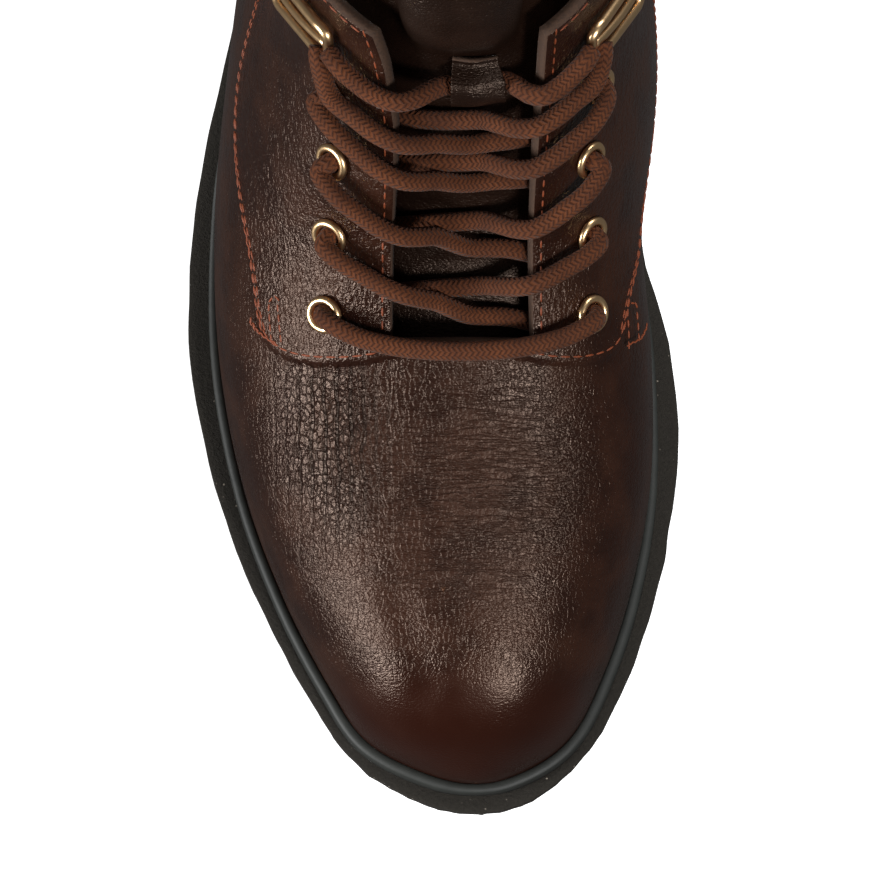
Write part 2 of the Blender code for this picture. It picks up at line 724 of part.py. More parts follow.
CORNERS = ((1, 1), (-1, 1), (-1, -1), (1, -1))
for side, letter in enumerate("lr"):
    oblong = []
    for corner, (far, high) in enumerate(CORNERS):
        for k in range(CORNER_STEPS):
            a = math.pi / 2 * (corner + k / (CORNER_STEPS - 1))
            around = LOOP_ROUND + far * (LOOP_HALF - LOOP_CORNER) + LOOP_CORNER * math.cos(a)
            up = high * (LOOP_RISE - LOOP_CORNER) + LOOP_CORNER * math.sin(a)
            oblong.append(on_shaft(side, around, up))
    loop = tube(f"top_loop_{letter}", oblong, LOOP_R, "gold", closed=True)
    line = LOOP_ROUND + LOOP_HALF * np.linspace(-1, 1, 7)
    bar = tube(f"loop_bar_{letter}", [on_shaft(side, a, 0.0) for a in line], LOOP_R * 0.9)
    cut(loop, bar, "UNION")
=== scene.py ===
"""Dresses the right lace-up ankle boot: pebbled brown leather, rust stitching, pale gold
eyelets, braided laces and a black rubber sole, seen from steeply above the toe."""

import math

import bmesh
import bpy
import numpy as np
from mathutils import Matrix, Vector


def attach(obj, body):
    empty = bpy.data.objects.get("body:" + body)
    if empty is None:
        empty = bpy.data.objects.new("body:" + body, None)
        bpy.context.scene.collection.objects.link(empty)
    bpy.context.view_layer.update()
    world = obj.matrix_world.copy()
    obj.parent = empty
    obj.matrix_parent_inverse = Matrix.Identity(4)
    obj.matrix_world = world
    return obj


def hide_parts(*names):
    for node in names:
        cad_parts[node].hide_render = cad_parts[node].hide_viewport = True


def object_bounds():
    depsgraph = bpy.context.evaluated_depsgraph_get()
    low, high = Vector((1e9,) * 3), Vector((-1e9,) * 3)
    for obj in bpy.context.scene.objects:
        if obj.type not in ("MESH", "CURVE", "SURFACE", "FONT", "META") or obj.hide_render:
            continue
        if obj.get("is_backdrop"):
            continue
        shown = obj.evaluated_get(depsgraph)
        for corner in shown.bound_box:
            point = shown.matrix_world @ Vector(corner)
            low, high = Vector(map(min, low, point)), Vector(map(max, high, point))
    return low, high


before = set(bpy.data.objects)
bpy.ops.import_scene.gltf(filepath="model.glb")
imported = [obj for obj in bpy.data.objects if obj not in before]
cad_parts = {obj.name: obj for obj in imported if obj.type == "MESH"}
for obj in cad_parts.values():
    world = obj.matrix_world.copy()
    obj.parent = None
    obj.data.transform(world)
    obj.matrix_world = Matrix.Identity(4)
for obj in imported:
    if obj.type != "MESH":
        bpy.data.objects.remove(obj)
cad_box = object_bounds()
MM = 0.001

# Helpers for node trees, materials and meshes.


def colour(code):
    """Linear red, green, blue and alpha of an sRGB hex colour."""
    parts = [int(code[i : i + 2], 16) / 255 for i in (1, 3, 5)]
    return [c / 12.92 if c <= 0.04045 else ((c + 0.055) / 1.055) ** 2.4 for c in parts] + [1.0]


def node(tree, kind, inputs=None, **settings):
    """Adds a node with its settings, and sets or links its inputs."""
    made = tree.nodes.new(kind)
    for key, value in settings.items():
        setattr(made, key, value)
    for key, value in (inputs or {}).items():
        if isinstance(value, bpy.types.NodeSocket):
            tree.links.new(value, made.inputs[key])
        else:
            made.inputs[key].default_value = value
    return made


def new_material(name):
    """A material, its node tree and its shader."""
    made = bpy.data.materials.new(name)
    made.use_nodes = True
    return made, made.node_tree, made.node_tree.nodes["Principled BSDF"]


def maths(tree, operation, *values):
    """A math node's result."""
    return node(tree, "ShaderNodeMath", dict(enumerate(values)), operation=operation).outputs[0]


def ramp(tree, value, low, high, to_low=0.0, to_high=1.0):
    """The value eased from one range to another."""
    inputs = {"Value": value, "From Min": low, "From Max": high, "To Min": to_low, "To Max": to_high}
    return node(tree, "ShaderNodeMapRange", inputs, interpolation_type="SMOOTHSTEP").outputs[0]


def linear(tree, value, limits):
    """The value moved evenly from one range to another."""
    return node(tree, "ShaderNodeMapRange", {"Value": value, **limits}).outputs[0]


def noise(tree, coords, size, detail=3.0, stretch=(1.0, 1.0, 1.0), output="Fac"):
    """Noise whose lumps are about this many metres across, longer where stretch is over 1."""
    scale = tuple(1 / (size * k) for k in stretch)
    place = node(tree, "ShaderNodeMapping", {"Vector": coords, "Scale": scale})
    inputs = {"Vector": place.outputs[0], "Scale": 1.0, "Detail": detail, "Roughness": 0.6}
    return node(tree, "ShaderNodeTexNoise", inputs).outputs[output]


def object_coords(tree):
    """Places on a piece in its own coordinates, in metres."""
    return node(tree, "ShaderNodeTexCoord").outputs["Object"]


def object_noise(tree, scale, detail, rough=0.5):
    """Noise on the piece's own coordinates."""
    inputs = {"Vector": object_coords(tree), "Scale": scale, "Detail": detail, "Roughness": rough}
    return node(tree, "ShaderNodeTexNoise", inputs).outputs["Fac"]


def mixed(tree, share, first, second):
    """Two colours mixed."""
    inputs = {0: share, 6: first, 7: second}
    return node(tree, "ShaderNodeMix", inputs, data_type="RGBA").outputs[2]


def finish(tree, shader, shade, rough, height, depth):
    """Sets a shader's colour and roughness, and a bump of this depth."""
    tree.links.new(shade, shader.inputs["Base Color"])
    if isinstance(rough, bpy.types.NodeSocket):
        tree.links.new(rough, shader.inputs["Roughness"])
    else:
        shader.inputs["Roughness"].default_value = rough
    bump = node(tree, "ShaderNodeBump", {"Height": height, "Distance": depth})
    tree.links.new(bump.outputs[0], shader.inputs["Normal"])


def flecked(name, dark, light, scale, detail, rough, depth):
    """A material that fine noise shades between two colours and roughens."""
    made, tree, shader = new_material(name)
    grain = object_noise(tree, scale, detail)
    finish(tree, shader, mixed(tree, grain, colour(dark), colour(light)), rough, grain, depth)
    return made


def new_piece(name, points, faces, look, smooth=True):
    """A mesh piece in the scene, shaded smooth unless told otherwise."""
    mesh = bpy.data.meshes.new(name)
    mesh.from_pydata([tuple(map(float, p)) for p in points], [], faces)
    mesh.materials.append(look)
    for polygon in mesh.polygons:
        polygon.use_smooth = smooth
    piece = bpy.data.objects.new(name, mesh)
    bpy.context.scene.collection.objects.link(piece)
    return piece


def settle(piece):
    """Applies the modifiers of a piece to its mesh."""
    graph = bpy.context.evaluated_depsgraph_get()
    mesh = bpy.data.meshes.new_from_object(piece.evaluated_get(graph), depsgraph=graph)
    piece.modifiers.clear()
    piece.data = mesh
    return piece


def thicken(piece, thickness, *looks):
    """Gives a sheet a wall inwards; looks are those of its inner face, if any, and its edge."""
    for look in looks:
        piece.data.materials.append(look)
    wall = piece.modifiers.new("wall", "SOLIDIFY")
    wall.thickness = thickness
    wall.offset = -1
    wall.material_offset = len(looks) - 1
    wall.material_offset_rim = len(looks)
    settle(piece)


def face_outwards(piece):
    """Turns the faces of a closed piece outwards."""
    shape = bmesh.new()
    shape.from_mesh(piece.data)
    bmesh.ops.recalc_face_normals(shape, faces=shape.faces)
    shape.to_mesh(piece.data)
    shape.free()


def give(piece, name, values):
    """Stores one number per point."""
    made = piece.data.attributes.new(name, "FLOAT", "POINT")
    made.data.foreach_set("value", np.ravel(values).astype(np.float32))


def grid_faces(rows, columns, keep=lambda i, j: True):
    """Faces of a grid of points, those that keep lets stay."""
    return [
        (i * columns + j, i * columns + j + 1, (i + 1) * columns + j + 1, (i + 1) * columns + j)
        for i in range(rows - 1)
        for j in range(columns - 1)
        if keep(i, j)
    ]


def join_rings(rings, closed=False):
    """Points and faces of a skin from ring to ring, and back to the first where closed."""
    size, count = len(rings[0]), len(rings)
    points = [p for ring in rings for p in ring]
    faces = []
    for r in range(count if closed else count - 1):
        here, there = r * size, (r + 1) % count * size
        for i in range(size):
            j = (i + 1) % size
            faces.append((here + i, here + j, there + j, there + i))
    return points, faces


def smooth_step(t):
    """0 to 1, eased at both ends."""
    t = np.clip(t, 0, 1)
    return t * t * (3 - 2 * t)


def smooth_curve(a, b, c, e, u):
    """The place at share u between b and c on a smooth curve through four points."""
    curve = 2 * b + (c - a) * u + (2 * a - 5 * b + 4 * c - e) * u**2
    return 0.5 * (curve + (3 * b - a - 3 * c + e) * u**3)


def find(function, low, high, tries=30):
    """The places between low and high where the function changes sign."""
    sign = function(low) > 0
    for _ in range(tries):
        middle = (low + high) / 2
        same = (function(middle) > 0) == sign
        low, high = np.where(same, middle, low), np.where(same, high, middle)
    return (low + high) / 2


# Camera: steeply above and in front of the toe, a long lens a metre away. Its place was
# fitted to the outline, the eyelets and the sole's edge.
AIM = Vector((-0.0004, -0.1575, 0.060))
ELEVATION = math.radians(80)
DISTANCE = 1.0
FOCAL_PX, WIDTH_PX = 4850, 880
SENSOR_MM = 36.0

lens = bpy.data.cameras.new("camera")
lens.sensor_fit = "HORIZONTAL"
lens.sensor_width = SENSOR_MM
lens.lens = SENSOR_MM * FOCAL_PX / WIDTH_PX
camera = bpy.data.objects.new("camera", lens)
camera.location = AIM + Vector((0, -math.cos(ELEVATION), math.sin(ELEVATION))) * DISTANCE
camera.rotation_euler = (math.pi / 2 - ELEVATION, 0, 0)
bpy.context.scene.collection.objects.link(camera)
bpy.context.scene.camera = camera
bpy.context.scene.view_settings.view_transform = "Standard"

# Floor and light: a white sheet lit to pure white, and large soft boxes that give the leather
# its broad highlights.

FLOOR_SIZE, FLOOR_GAP = 3.0, 0.0004
floor_mesh = bpy.data.meshes.new("floor")
corners = [(x * FLOOR_SIZE, y * FLOOR_SIZE, -FLOOR_GAP) for x, y in ((-1, -1), (1, -1), (1, 1), (-1, 1))]
floor_mesh.from_pydata(corners, [], [(0, 1, 2, 3)])
floor = bpy.data.objects.new("floor", floor_mesh)
bpy.context.scene.collection.objects.link(floor)
paper, tree, shader = new_material("white_paper_sweep")
shader.inputs["Base Color"].default_value = colour("#f4f4f4")
shader.inputs["Roughness"].default_value = 0.9
shader.inputs["Emission Color"].default_value = (1, 1, 1, 1)
shader.inputs["Emission Strength"].default_value = 0.80
floor_mesh.materials.append(paper)
floor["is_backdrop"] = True
floor.visible_glossy = False
floor.visible_diffuse = False

world = bpy.context.scene.world or bpy.data.worlds.new("studio")
bpy.context.scene.world = world
world.use_nodes = True
world.node_tree.nodes["Background"].inputs["Color"].default_value = (1, 1, 1, 1)
world.node_tree.nodes["Background"].inputs["Strength"].default_value = 0.09


def soft_box(name, turn, rise, far, size, power):
    """A soft box this many degrees round from the toe and up, that faces the toe."""
    light = bpy.data.lights.new(name, "AREA")
    light.shape = "RECTANGLE"
    light.size, light.size_y = size
    light.energy = power
    lamp = bpy.data.objects.new(name, light)
    turn, rise = math.radians(turn), math.radians(rise)
    level = math.cos(rise)
    away = Vector((math.sin(turn) * level, -math.cos(turn) * level, math.sin(rise)))
    lamp.location = AIM + away * far
    lamp.rotation_euler = away.to_track_quat("Z", "Y").to_euler()
    bpy.context.scene.collection.objects.link(lamp)


soft_box("left_box", -69, 19, 1.2, (0.50, 0.62), 18)
soft_box("front_box", 38, 46, 1.2, (0.28, 0.22), 11)
soft_box("back_box", 150, 42, 1.5, (0.9, 0.5), 9)

# Upper: chrome-tanned pebbled leather pulled over the last, with the front quarters laid over
# the vamp and stitched down. The last's sections repeat those of the part's source.
LENGTH, COLLAR, BALL = 0.262, 0.150, 0.0456
HEEL_CENTRE = 0.036
GAP = 0.0003
HEEL_BED, FORE_BED, TOE_SPRING = 0.036, 0.019, 0.008
PANEL_STEP = 0.0012
SECTION_COLUMNS = (
    "front_d front_z back_d back_z front_x back_x lateral medial widest round_f round_b"
).split()
SECTIONS = {
    "toe_tip": (0.998, 0.222, 0.998, 0.222, 0.155, 0.155, 0.000, 0.000, 0.45, 2.0, 2.0),
    "toe_front": (0.988, 0.283, 0.988, 0.107, 0.145, 0.145, 0.245, 0.235, 0.42, 2.2, 3.0),
    "toe_rise": (0.963, 0.350, 0.963, 0.063, 0.136, 0.136, 0.487, 0.443, 0.40, 2.3, 3.5),
    "toe_crown": (0.920, 0.397, 0.920, 0.043, 0.123, 0.123, 0.640, 0.597, 0.40, 2.3, 4.0),
    "toe_top": (0.847, 0.430, 0.847, 0.033, 0.105, 0.105, 0.838, 0.763, 0.40, 2.3, 4.0),
    "ball": (0.756, 0.473, 0.756, 0.030, 0.092, 0.066, 1.000, 0.890, 0.40, 2.3, 4.0),
    "throat": (0.673, 0.540, 0.640, 0.027, 0.083, 0.022, 1.083, 0.925, 0.38, 2.2, 4.0),
    "instep": (0.612, 0.622, 0.500, 0.063, 0.079, -0.022, 1.070, 0.905, 0.36, 2.1, 3.2),
    "waist": (0.579, 0.732, 0.330, 0.135, 0.079, -0.055, 0.975, 0.955, 0.38, 2.1, 2.3),
    "heel_seat": (0.547, 0.830, 0.130, 0.153, 0.079, -0.033, 0.890, 0.925, 0.42, 2.2, 2.5),
    "heel_back": (0.521, 0.920, 0.016, 0.225, 0.079, 0.000, 0.900, 0.900, 0.46, 2.2, 2.3),
    "ankle": (0.505, 0.985, 0.003, 0.480, 0.079, 0.000, 0.915, 0.885, 0.48, 2.2, 2.1),
    "shaft": (0.493, 1.042, 0.026, 0.747, 0.079, 0.000, 0.930, 0.880, 0.50, 2.2, 2.1),
    "collar": (0.482, 1.095, 0.040, 1.000, 0.079, 0.000, 0.940, 0.880, 0.50, 2.2, 2.1),
    "above": (0.469, 1.165, 0.042, 1.150, 0.079, 0.000, 0.945, 0.880, 0.50, 2.2, 2.1),
}


def section_rows():
    """The section table in metres, with a row before it that lets the toe close round."""
    scale = {"d": LENGTH, "z": COLLAR, "x": BALL, "lateral": BALL, "medial": BALL}
    factor = np.array([scale.get(c.split("_")[-1], 1.0) for c in SECTION_COLUMNS])
    table = np.array(list(SECTIONS.values())) * factor
    before = table[1].copy()
    for name in ("front_z", "back_z"):
        i = SECTION_COLUMNS.index(name)
        before[i] = 2 * table[0][i] - table[1][i]
    for name in ("lateral", "medial"):
        before[SECTION_COLUMNS.index(name)] *= -1
    return np.vstack([before, table, 2 * table[-1] - table[-2]])


ROWS = section_rows()


def section(s):
    """The section at lay s, a smooth curve through the table."""
    s = np.asarray(s, float)
    i = np.clip(np.floor(s).astype(int), 0, len(ROWS) - 4)
    u = (s - i)[..., None]
    return np.moveaxis(smooth_curve(ROWS[i], ROWS[i + 1], ROWS[i + 2], ROWS[i + 3], u), -1, 0)


def last_point(s, turn):
    """A point of the vamp's outer face: turn is 0 on the ridge, positive to the medial side."""
    fd, fz, bd, bz, fx, bx, lateral, medial, widest, round_f, round_b = section(s)
    cosine, sine = np.cos(turn), np.abs(np.sin(turn))
    power = np.where(cosine >= 0, round_f, round_b)
    radius = (np.abs(cosine) ** power + sine**power) ** (-1 / power)
    reach = np.where(cosine >= 0, 1 - widest, widest)
    up = widest + reach * cosine * radius
    half = np.where(np.sin(turn) > 0, medial, -lateral)
    x = bx + (fx - bx) * up + half * sine * radius
    return np.stack([x, HEEL_CENTRE - (bd + (fd - bd) * up), bz + (fz - bz) * up], -1)


def last_normal(s, turn):
    """The way out of the leather at a place of the last."""
    step = 0.004
    along = last_point(s + step, turn) - last_point(s - step, turn)
    around = last_point(s, turn + step) - last_point(s, turn - step)
    normal = np.cross(around, along)
    return normal / np.linalg.norm(normal, axis=-1, keepdims=True)


def offset_point(s, turn, offset):
    """A place this far out from the vamp's face."""
    s, turn = np.broadcast_arrays(np.asarray(s, float), np.asarray(turn, float))
    return last_point(s, turn) + last_normal(s, turn) * np.asarray(offset)[..., None]


def bed_height(d):
    """Height of the top of the sole, where the upper stands."""
    share = np.asarray(d, float) / LENGTH
    drop = (HEEL_BED - FORE_BED) * (1 - smooth_step((share - 0.26) / 0.36))
    return FORE_BED + drop + TOE_SPRING * np.clip((share - 0.70) / 0.30, 0, 2) ** 1.8


def turn_at_x(s, x):
    """The turns on the front of sections s that have these x."""
    s, x = np.broadcast_arrays(np.asarray(s, float), np.asarray(x, float))
    side = np.where(x >= last_point(s, 0.0)[..., 0], 1.0, -1.0)
    return find(lambda t: last_point(s, t)[..., 0] - x, side * 0.0, side * math.pi / 2)


THROAT_BASE = 6.0
THROAT_EDGES = [
    (THROAT_BASE, -0.0140, 0.0144), (7.0, -0.0136, 0.0142),
    (8.0, -0.0128, 0.0144), (9.0, -0.0126, 0.0150),
    (10.0, -0.0142, 0.0156), (11.0, -0.0168, 0.0160),
    (12.0, -0.0205, 0.0172), (14.0, -0.0245, 0.0195),
]
COLLAR_LINE = [(-0.10, 0.99), (0.04, 0.985), (0.16, 0.955), (0.30, 0.935), (0.42, 0.945)]
COLLAR_LINE += [(0.50, 0.957), (0.70, 0.965)]
PANEL_EDGE = [
    (0.668, 1.20), (0.668, 0.560), (0.683, 0.527), (0.689, 0.500), (0.684, 0.467),
    (0.672, 0.440), (0.652, 0.428), (0.605, 0.448), (0.555, 0.456), (0.490, 0.462),
    (0.440, 0.495), (0.400, 0.580), (0.370, 0.720), (0.345, 0.900), (0.330, 1.20),
]
STEP_RAMP = 0.0005
# Behind the panel's lowest corner, the seam of the medial side runs lower by this much.
CORNER, SEAM_DROP, SIDE_RAMP, CORNER_RAMP = 6, 0.009, 0.010, 0.08


def edge_outline():
    """The panel's edge in side view, as (y, z) points with its corners eased."""
    points = np.array([(HEEL_CENTRE - d * LENGTH, z * COLLAR) for d, z in PANEL_EDGE])
    for _ in range(2):
        near, far = points[:-1], points[1:]
        eased = np.stack([near * 0.75 + far * 0.25, near * 0.25 + far * 0.75], 1).reshape(-1, 2)
        points = np.vstack([points[:1], eased, points[-1:]])
    return points


OUTLINE = edge_outline()


def inside_panel(points):
    """Distance in side view from the panel's edge, positive on the panel, in metres."""
    behind = PANEL_EDGE[CORNER][0] - (HEEL_CENTRE - points[..., 1]) / LENGTH
    inner = smooth_step(points[..., 0] / SIDE_RAMP) * smooth_step(behind / CORNER_RAMP)
    p = points[..., 1:] + np.stack([0 * inner, SEAM_DROP * inner], -1)
    best = np.full(p.shape[:-1], 1e9)
    crossings = np.zeros(p.shape[:-1], int)
    for a, b in zip(OUTLINE, np.roll(OUTLINE, -1, axis=0)):
        along = b - a
        t = np.clip(((p - a) @ along) / (along @ along), 0, 1)
        best = np.minimum(best, np.linalg.norm(p - a - t[..., None] * along, axis=-1))
        if a[1] != b[1]:
            spans = (a[1] > p[..., 1]) != (b[1] > p[..., 1])
            y = a[0] + (p[..., 1] - a[1]) / (b[1] - a[1]) * along[0]
            crossings += spans & (p[..., 0] < y)
    return np.where(crossings % 2 == 1, best, -best)


LAYS = np.linspace(0, 14, 500)
ridge_line = last_point(LAYS, 0.0)[:, 0]
throat_table = np.array(THROAT_EDGES).T
UNDER = math.pi * 0.9995


def side_tables(side):
    """Turns of the throat's edge and of the foot line, by lay, on one side."""
    base = np.maximum(LAYS, THROAT_BASE)
    from_ridge = np.interp(base, throat_table[0], throat_table[1 + (side > 0)])
    x = np.interp(base, LAYS, ridge_line) + from_ridge
    edge = np.abs(turn_at_x(base, x))

    def excess(turn):
        x, y, z = np.moveaxis(last_point(LAYS, side * turn), -1, 0)
        return z - bed_height(HEEL_CENTRE - y) - GAP

    limit = find(excess, np.full(len(LAYS), math.pi / 3), np.full(len(LAYS), UNDER))
    return edge, limit


SIDE = {side: side_tables(side) for side in (-1, 1)}


def turn_across(s, q):
    """The turn at lay s, where q is 0 on the ridge, 1 at the throat's edge and 2 at the foot."""
    s, q = np.broadcast_arrays(np.asarray(s, float), np.asarray(q, float))
    turn = np.zeros(s.shape)
    for side in (-1, 1):
        edge, limit = (np.interp(s, LAYS, t) for t in SIDE[side])
        reach = np.abs(q)
        here = edge * np.minimum(reach, 1) + (limit - edge) * np.maximum(reach - 1, 0)
        turn = np.where(q * side > 0, side * here, turn)
    return turn


def collar_height(y):
    """Height of the collar's edge at this y."""
    d, z = zip(*COLLAR_LINE)
    return np.interp(HEEL_CENTRE - y, np.array(d) * LENGTH, np.array(z) * COLLAR)


TOE_ROWS, LEG_ROWS = 132, 108
INNER, OUTER = 20, 84
# Rows run straight across up to BLEND_LAY, and then slant to follow the collar.
TOE_LAY, BLEND_LAY, TOP_LAY = 0.03, 9.0, 13.0
BOTTOM_TURN = 2.2


def grid_lays():
    """Lays of the rows, evenly spaced along the ridge and the bottom."""
    path = last_point(LAYS, 0.0), last_point(LAYS, BOTTOM_TURN)
    step = sum(np.linalg.norm(np.diff(p, axis=0), axis=1) for p in path)
    along = np.append(0, np.cumsum(step))
    low = np.interp(TOE_LAY, LAYS, along)
    base, top = np.interp([THROAT_BASE, TOP_LAY], LAYS, along)
    toe = np.interp(np.linspace(low, base, TOE_ROWS), along, LAYS)
    leg = np.interp(np.linspace(base, top, LEG_ROWS + 1), along, LAYS)
    return np.append(toe, leg[1:])


def grid_reach():
    """q of the columns: even from the ridge to the throat's edge, then even to the foot."""
    q = np.append(np.linspace(0, 1, INNER + 1), 1 + np.linspace(0, 1, OUTER + 1)[1:])
    return np.append(-q[:0:-1], q)


lays, reach = grid_lays(), grid_reach()

COLLAR_LAYS = (10.5, 13.8)


def collar_lay(q):
    """The lay at which column q reaches the collar."""

    def over(s):
        p = last_point(s, turn_across(s, q))
        return p[..., 2] - collar_height(p[..., 1])

    return find(over, np.full(np.shape(q), COLLAR_LAYS[0]), np.full(np.shape(q), COLLAR_LAYS[1]))


share = np.clip((lays - BLEND_LAY) / (TOP_LAY - BLEND_LAY), 0, 1)[:, None]
slanted = BLEND_LAY + share * (collar_lay(reach) - BLEND_LAY)
s_grid = np.where(lays[:, None] < BLEND_LAY, lays[:, None], slanted)
turn_grid = turn_across(s_grid, reach[None, :] + 0 * s_grid)

# Folds of the vamp and shaft, from walking: (d, x) of both ends, half width and depth, in mm.
# A negative depth is a ridge.
FOLDS = [
    ((226, -9), (244, -2.5), 4.0, 0.70),
    ((183, -25), (200, -25), 4.0, 0.20),
    ((205, -12), (203, 24), 3.2, 0.20),
    ((217, -14), (216, 20), 3.2, 0.18),
    ((212, -33), (224, -22), 4.0, 0.35),
]


def folds(points):
    """Height that the folds add at each point."""
    d, x = (HEEL_CENTRE - points[..., 1]) / MM, points[..., 0] / MM
    p = np.stack([d, x], -1)
    height = np.zeros(d.shape)
    top = smooth_step((points[..., 2] - 0.045) / 0.012)
    for a, b, half, depth in FOLDS:
        a, b = np.array(a, float), np.array(b, float)
        along = b - a
        t = ((p - a) @ along) / (along @ along)
        away = np.linalg.norm(p - a - np.clip(t, 0, 1)[..., None] * along, axis=-1)
        height -= depth * MM * np.exp(-((away / half) ** 2))
    return height * top


# The distance from the panel's edge is found in side view, and then divided by its slope over
# the leather, so that the step keeps its width where the upper turns away.
face = last_point(s_grid, turn_grid)
view_distance = inside_panel(face)
by_row, by_column = np.gradient(face, axis=0), np.gradient(face, axis=1)
slope_r, slope_c = np.gradient(view_distance, axis=0), np.gradient(view_distance, axis=1)
rr, rc, cc = (by_row**2).sum(-1), (by_row * by_column).sum(-1), (by_column**2).sum(-1)
steep = cc * slope_r**2 - 2 * rc * slope_r * slope_c + rr * slope_c**2
steep /= np.maximum(rr * cc - rc**2, 1e-18)
edge_distance = view_distance / np.sqrt(np.clip(steep, 0.03, 4))
on_panel = np.clip(edge_distance / STEP_RAMP + 0.5, 0, 1)
outer = offset_point(s_grid, turn_grid, PANEL_STEP * smooth_step(on_panel) + folds(face))


def cells(tree, coords, size, stretch, crease):
    """Pebble cells: 1 on their tops, falling to 0 in the creases between them."""
    drift = noise(tree, coords, size * 3.0, 1.0, output="Color")
    shift = node(tree, "ShaderNodeVectorMath", {0: drift, 1: (0.5, 0.5, 0.5)}, operation="SUBTRACT")
    bend = {0: shift.outputs[0], "Scale": size * 0.8}
    bend = node(tree, "ShaderNodeVectorMath", bend, operation="SCALE")
    bent = node(tree, "ShaderNodeVectorMath", {0: coords, 1: bend.outputs[0]}, operation="ADD")
    scale = tuple(1 / (size * k) for k in stretch)
    place = node(tree, "ShaderNodeMapping", {"Vector": bent.outputs[0], "Scale": scale})
    inputs = {"Vector": place.outputs[0], "Scale": 1.0}
    edge = node(tree, "ShaderNodeTexVoronoi", inputs, feature="DISTANCE_TO_EDGE").outputs["Distance"]
    return ramp(tree, edge, 0.0, crease)


def spot(tree, coords, centre, radius):
    """A frayed spot of this radius about a place in millimetres."""
    centre = tuple(c * MM for c in centre)
    away = node(tree, "ShaderNodeVectorMath", {0: coords, 1: centre}, operation="DISTANCE")
    frays = noise(tree, coords, 0.8 * MM)
    frayed = maths(tree, "MULTIPLY_ADD", frays, radius * MM, away.outputs["Value"])
    return ramp(tree, frayed, radius * MM, radius * 0.7 * MM)


# Small spots where the dye is rubbed off: place and radius in millimetres.
RUBBED_SPOTS = (((0, -189, 64), 1.6), ((27, -200, 50), 2.2), ((-34.5, -176, 50), 2.4))


def waxed_leather(name, dark, light, crease_shade, net_size, net_stretch, rough, regions):
    """Full-grain leather, drummed so that it pebbles, then waxed: dark brown, with a redder tone and
    painted shade over the toe's front slope, painted shade in the folds, creases and pebble hollows, and
    a broad gloss that the grain breaks up."""
    made, tree, shader = new_material(name)
    coords = object_coords(tree)
    fine = noise(tree, coords, 0.40 * MM, 1.0, (1.6, 0.9, 1.0))
    ripples = noise(tree, coords, 0.90 * MM, 1.0, (0.8, 2.0, 2.4))
    net = cells(tree, coords, net_size, net_stretch, 0.16)
    cloud = noise(tree, coords, 14 * MM, 2.0)
    shade = mixed(tree, ramp(tree, cloud, 0.38, 0.64), colour(dark), colour(light))
    net_share = 0.12
    if regions:
        along, across, toe, leg = (
            node(tree, "ShaderNodeAttribute", attribute_name=n).outputs["Fac"]
            for n in ("along", "across", "toe", "leg")
        )
        fine = maths(tree, "MULTIPLY", fine, maths(tree, "MULTIPLY_ADD", toe, -0.4, 0.8))
        height = maths(tree, "MULTIPLY_ADD", maths(tree, "MULTIPLY", ripples, leg), 1.6, fine)
        net_share = maths(tree, "MULTIPLY_ADD", along, 0.55, 0.16)
        net_share = maths(tree, "MULTIPLY", net_share, maths(tree, "SUBTRACT", 1.0, toe))
        place = {"Vector": coords, "Scale": 118.0, "Distortion": 2.6}
        place.update({"Detail": 2.0, "Detail Scale": 1.3})
        bands = node(tree, "ShaderNodeTexWave", place, bands_direction="X").outputs["Fac"]
        valleys = ramp(tree, bands, 0.02, 0.25)
        deep = maths(tree, "MULTIPLY", maths(tree, "SUBTRACT", valleys, 1.0), along)
        height = maths(tree, "MULTIPLY_ADD", deep, 2.2, height)
        lines = noise(tree, coords, 1.25 * MM, 2.0, (6.5, 1.0, 2.2))
        level = maths(tree, "ABSOLUTE", maths(tree, "SUBTRACT", lines, 0.5))
        creases = maths(tree, "SUBTRACT", ramp(tree, level, 0.0, 0.07), 1.0)
        creases = maths(tree, "MULTIPLY", creases, across)
        height = maths(tree, "MULTIPLY_ADD", creases, 1.2, height)
        # Painted shade: the fold valleys and creases are darkened towards the crease shade colour.
        sunk = maths(tree, "MULTIPLY_ADD", deep, -0.8, maths(tree, "MULTIPLY", creases, -0.15))
        shade = mixed(tree, sunk, shade, colour(crease_shade))
        # Darker and redder over the front of the toe: partly a redder tone of the leather, partly
        # painted shade of the toe's front slope.
        shade = mixed(tree, maths(tree, "MULTIPLY", toe, 0.85), shade, colour("#260d06"))
        for centre, radius in RUBBED_SPOTS:
            share = maths(tree, "MULTIPLY", spot(tree, coords, centre, radius), 0.45)
            shade = mixed(tree, share, shade, colour("#8a5a3a"))
    else:
        height = fine
    hollow = maths(tree, "MULTIPLY", maths(tree, "SUBTRACT", net, 1.0), net_share)
    height = maths(tree, "MULTIPLY_ADD", hollow, 1.5, height)
    # Painted shade: the creases between pebble cells are darkened towards the crease shade colour.
    shade = mixed(tree, maths(tree, "MULTIPLY", hollow, -0.9), shade, colour(crease_shade))
    gloss = ramp(tree, cloud, 0.3, 0.7, rough - 0.04, rough + 0.05)
    if regions:
        gloss = maths(tree, "MULTIPLY_ADD", across, 0.12, gloss)
    finish(tree, shader, shade, gloss, height, 0.21 * MM)
    shader.inputs["Specular IOR Level"].default_value = 0.5
    shader.inputs["Specular Tint"].default_value = colour("#f0d2bf")
    return made


# The third colour is the painted shade put into the creases and hollows.
leather = waxed_leather(
    "pebbled_full_grain_leather", "#22100a", "#2e180f", "#090302", 1.4 * MM, (0.8, 1.3, 1.3), 0.29, True
)
# Inside, a napped pigskin lining; at every cut, the fibres of the hide.
lining = flecked("pigskin_lining", "#4a3527", "#6a4e3a", 900.0, 3.0, 0.75, 0.1 * MM)
raw_edge = flecked("raw_cut_leather_edge", "#20130b", "#523826", 1800.0, 4.0, 0.85, 0.15 * MM)

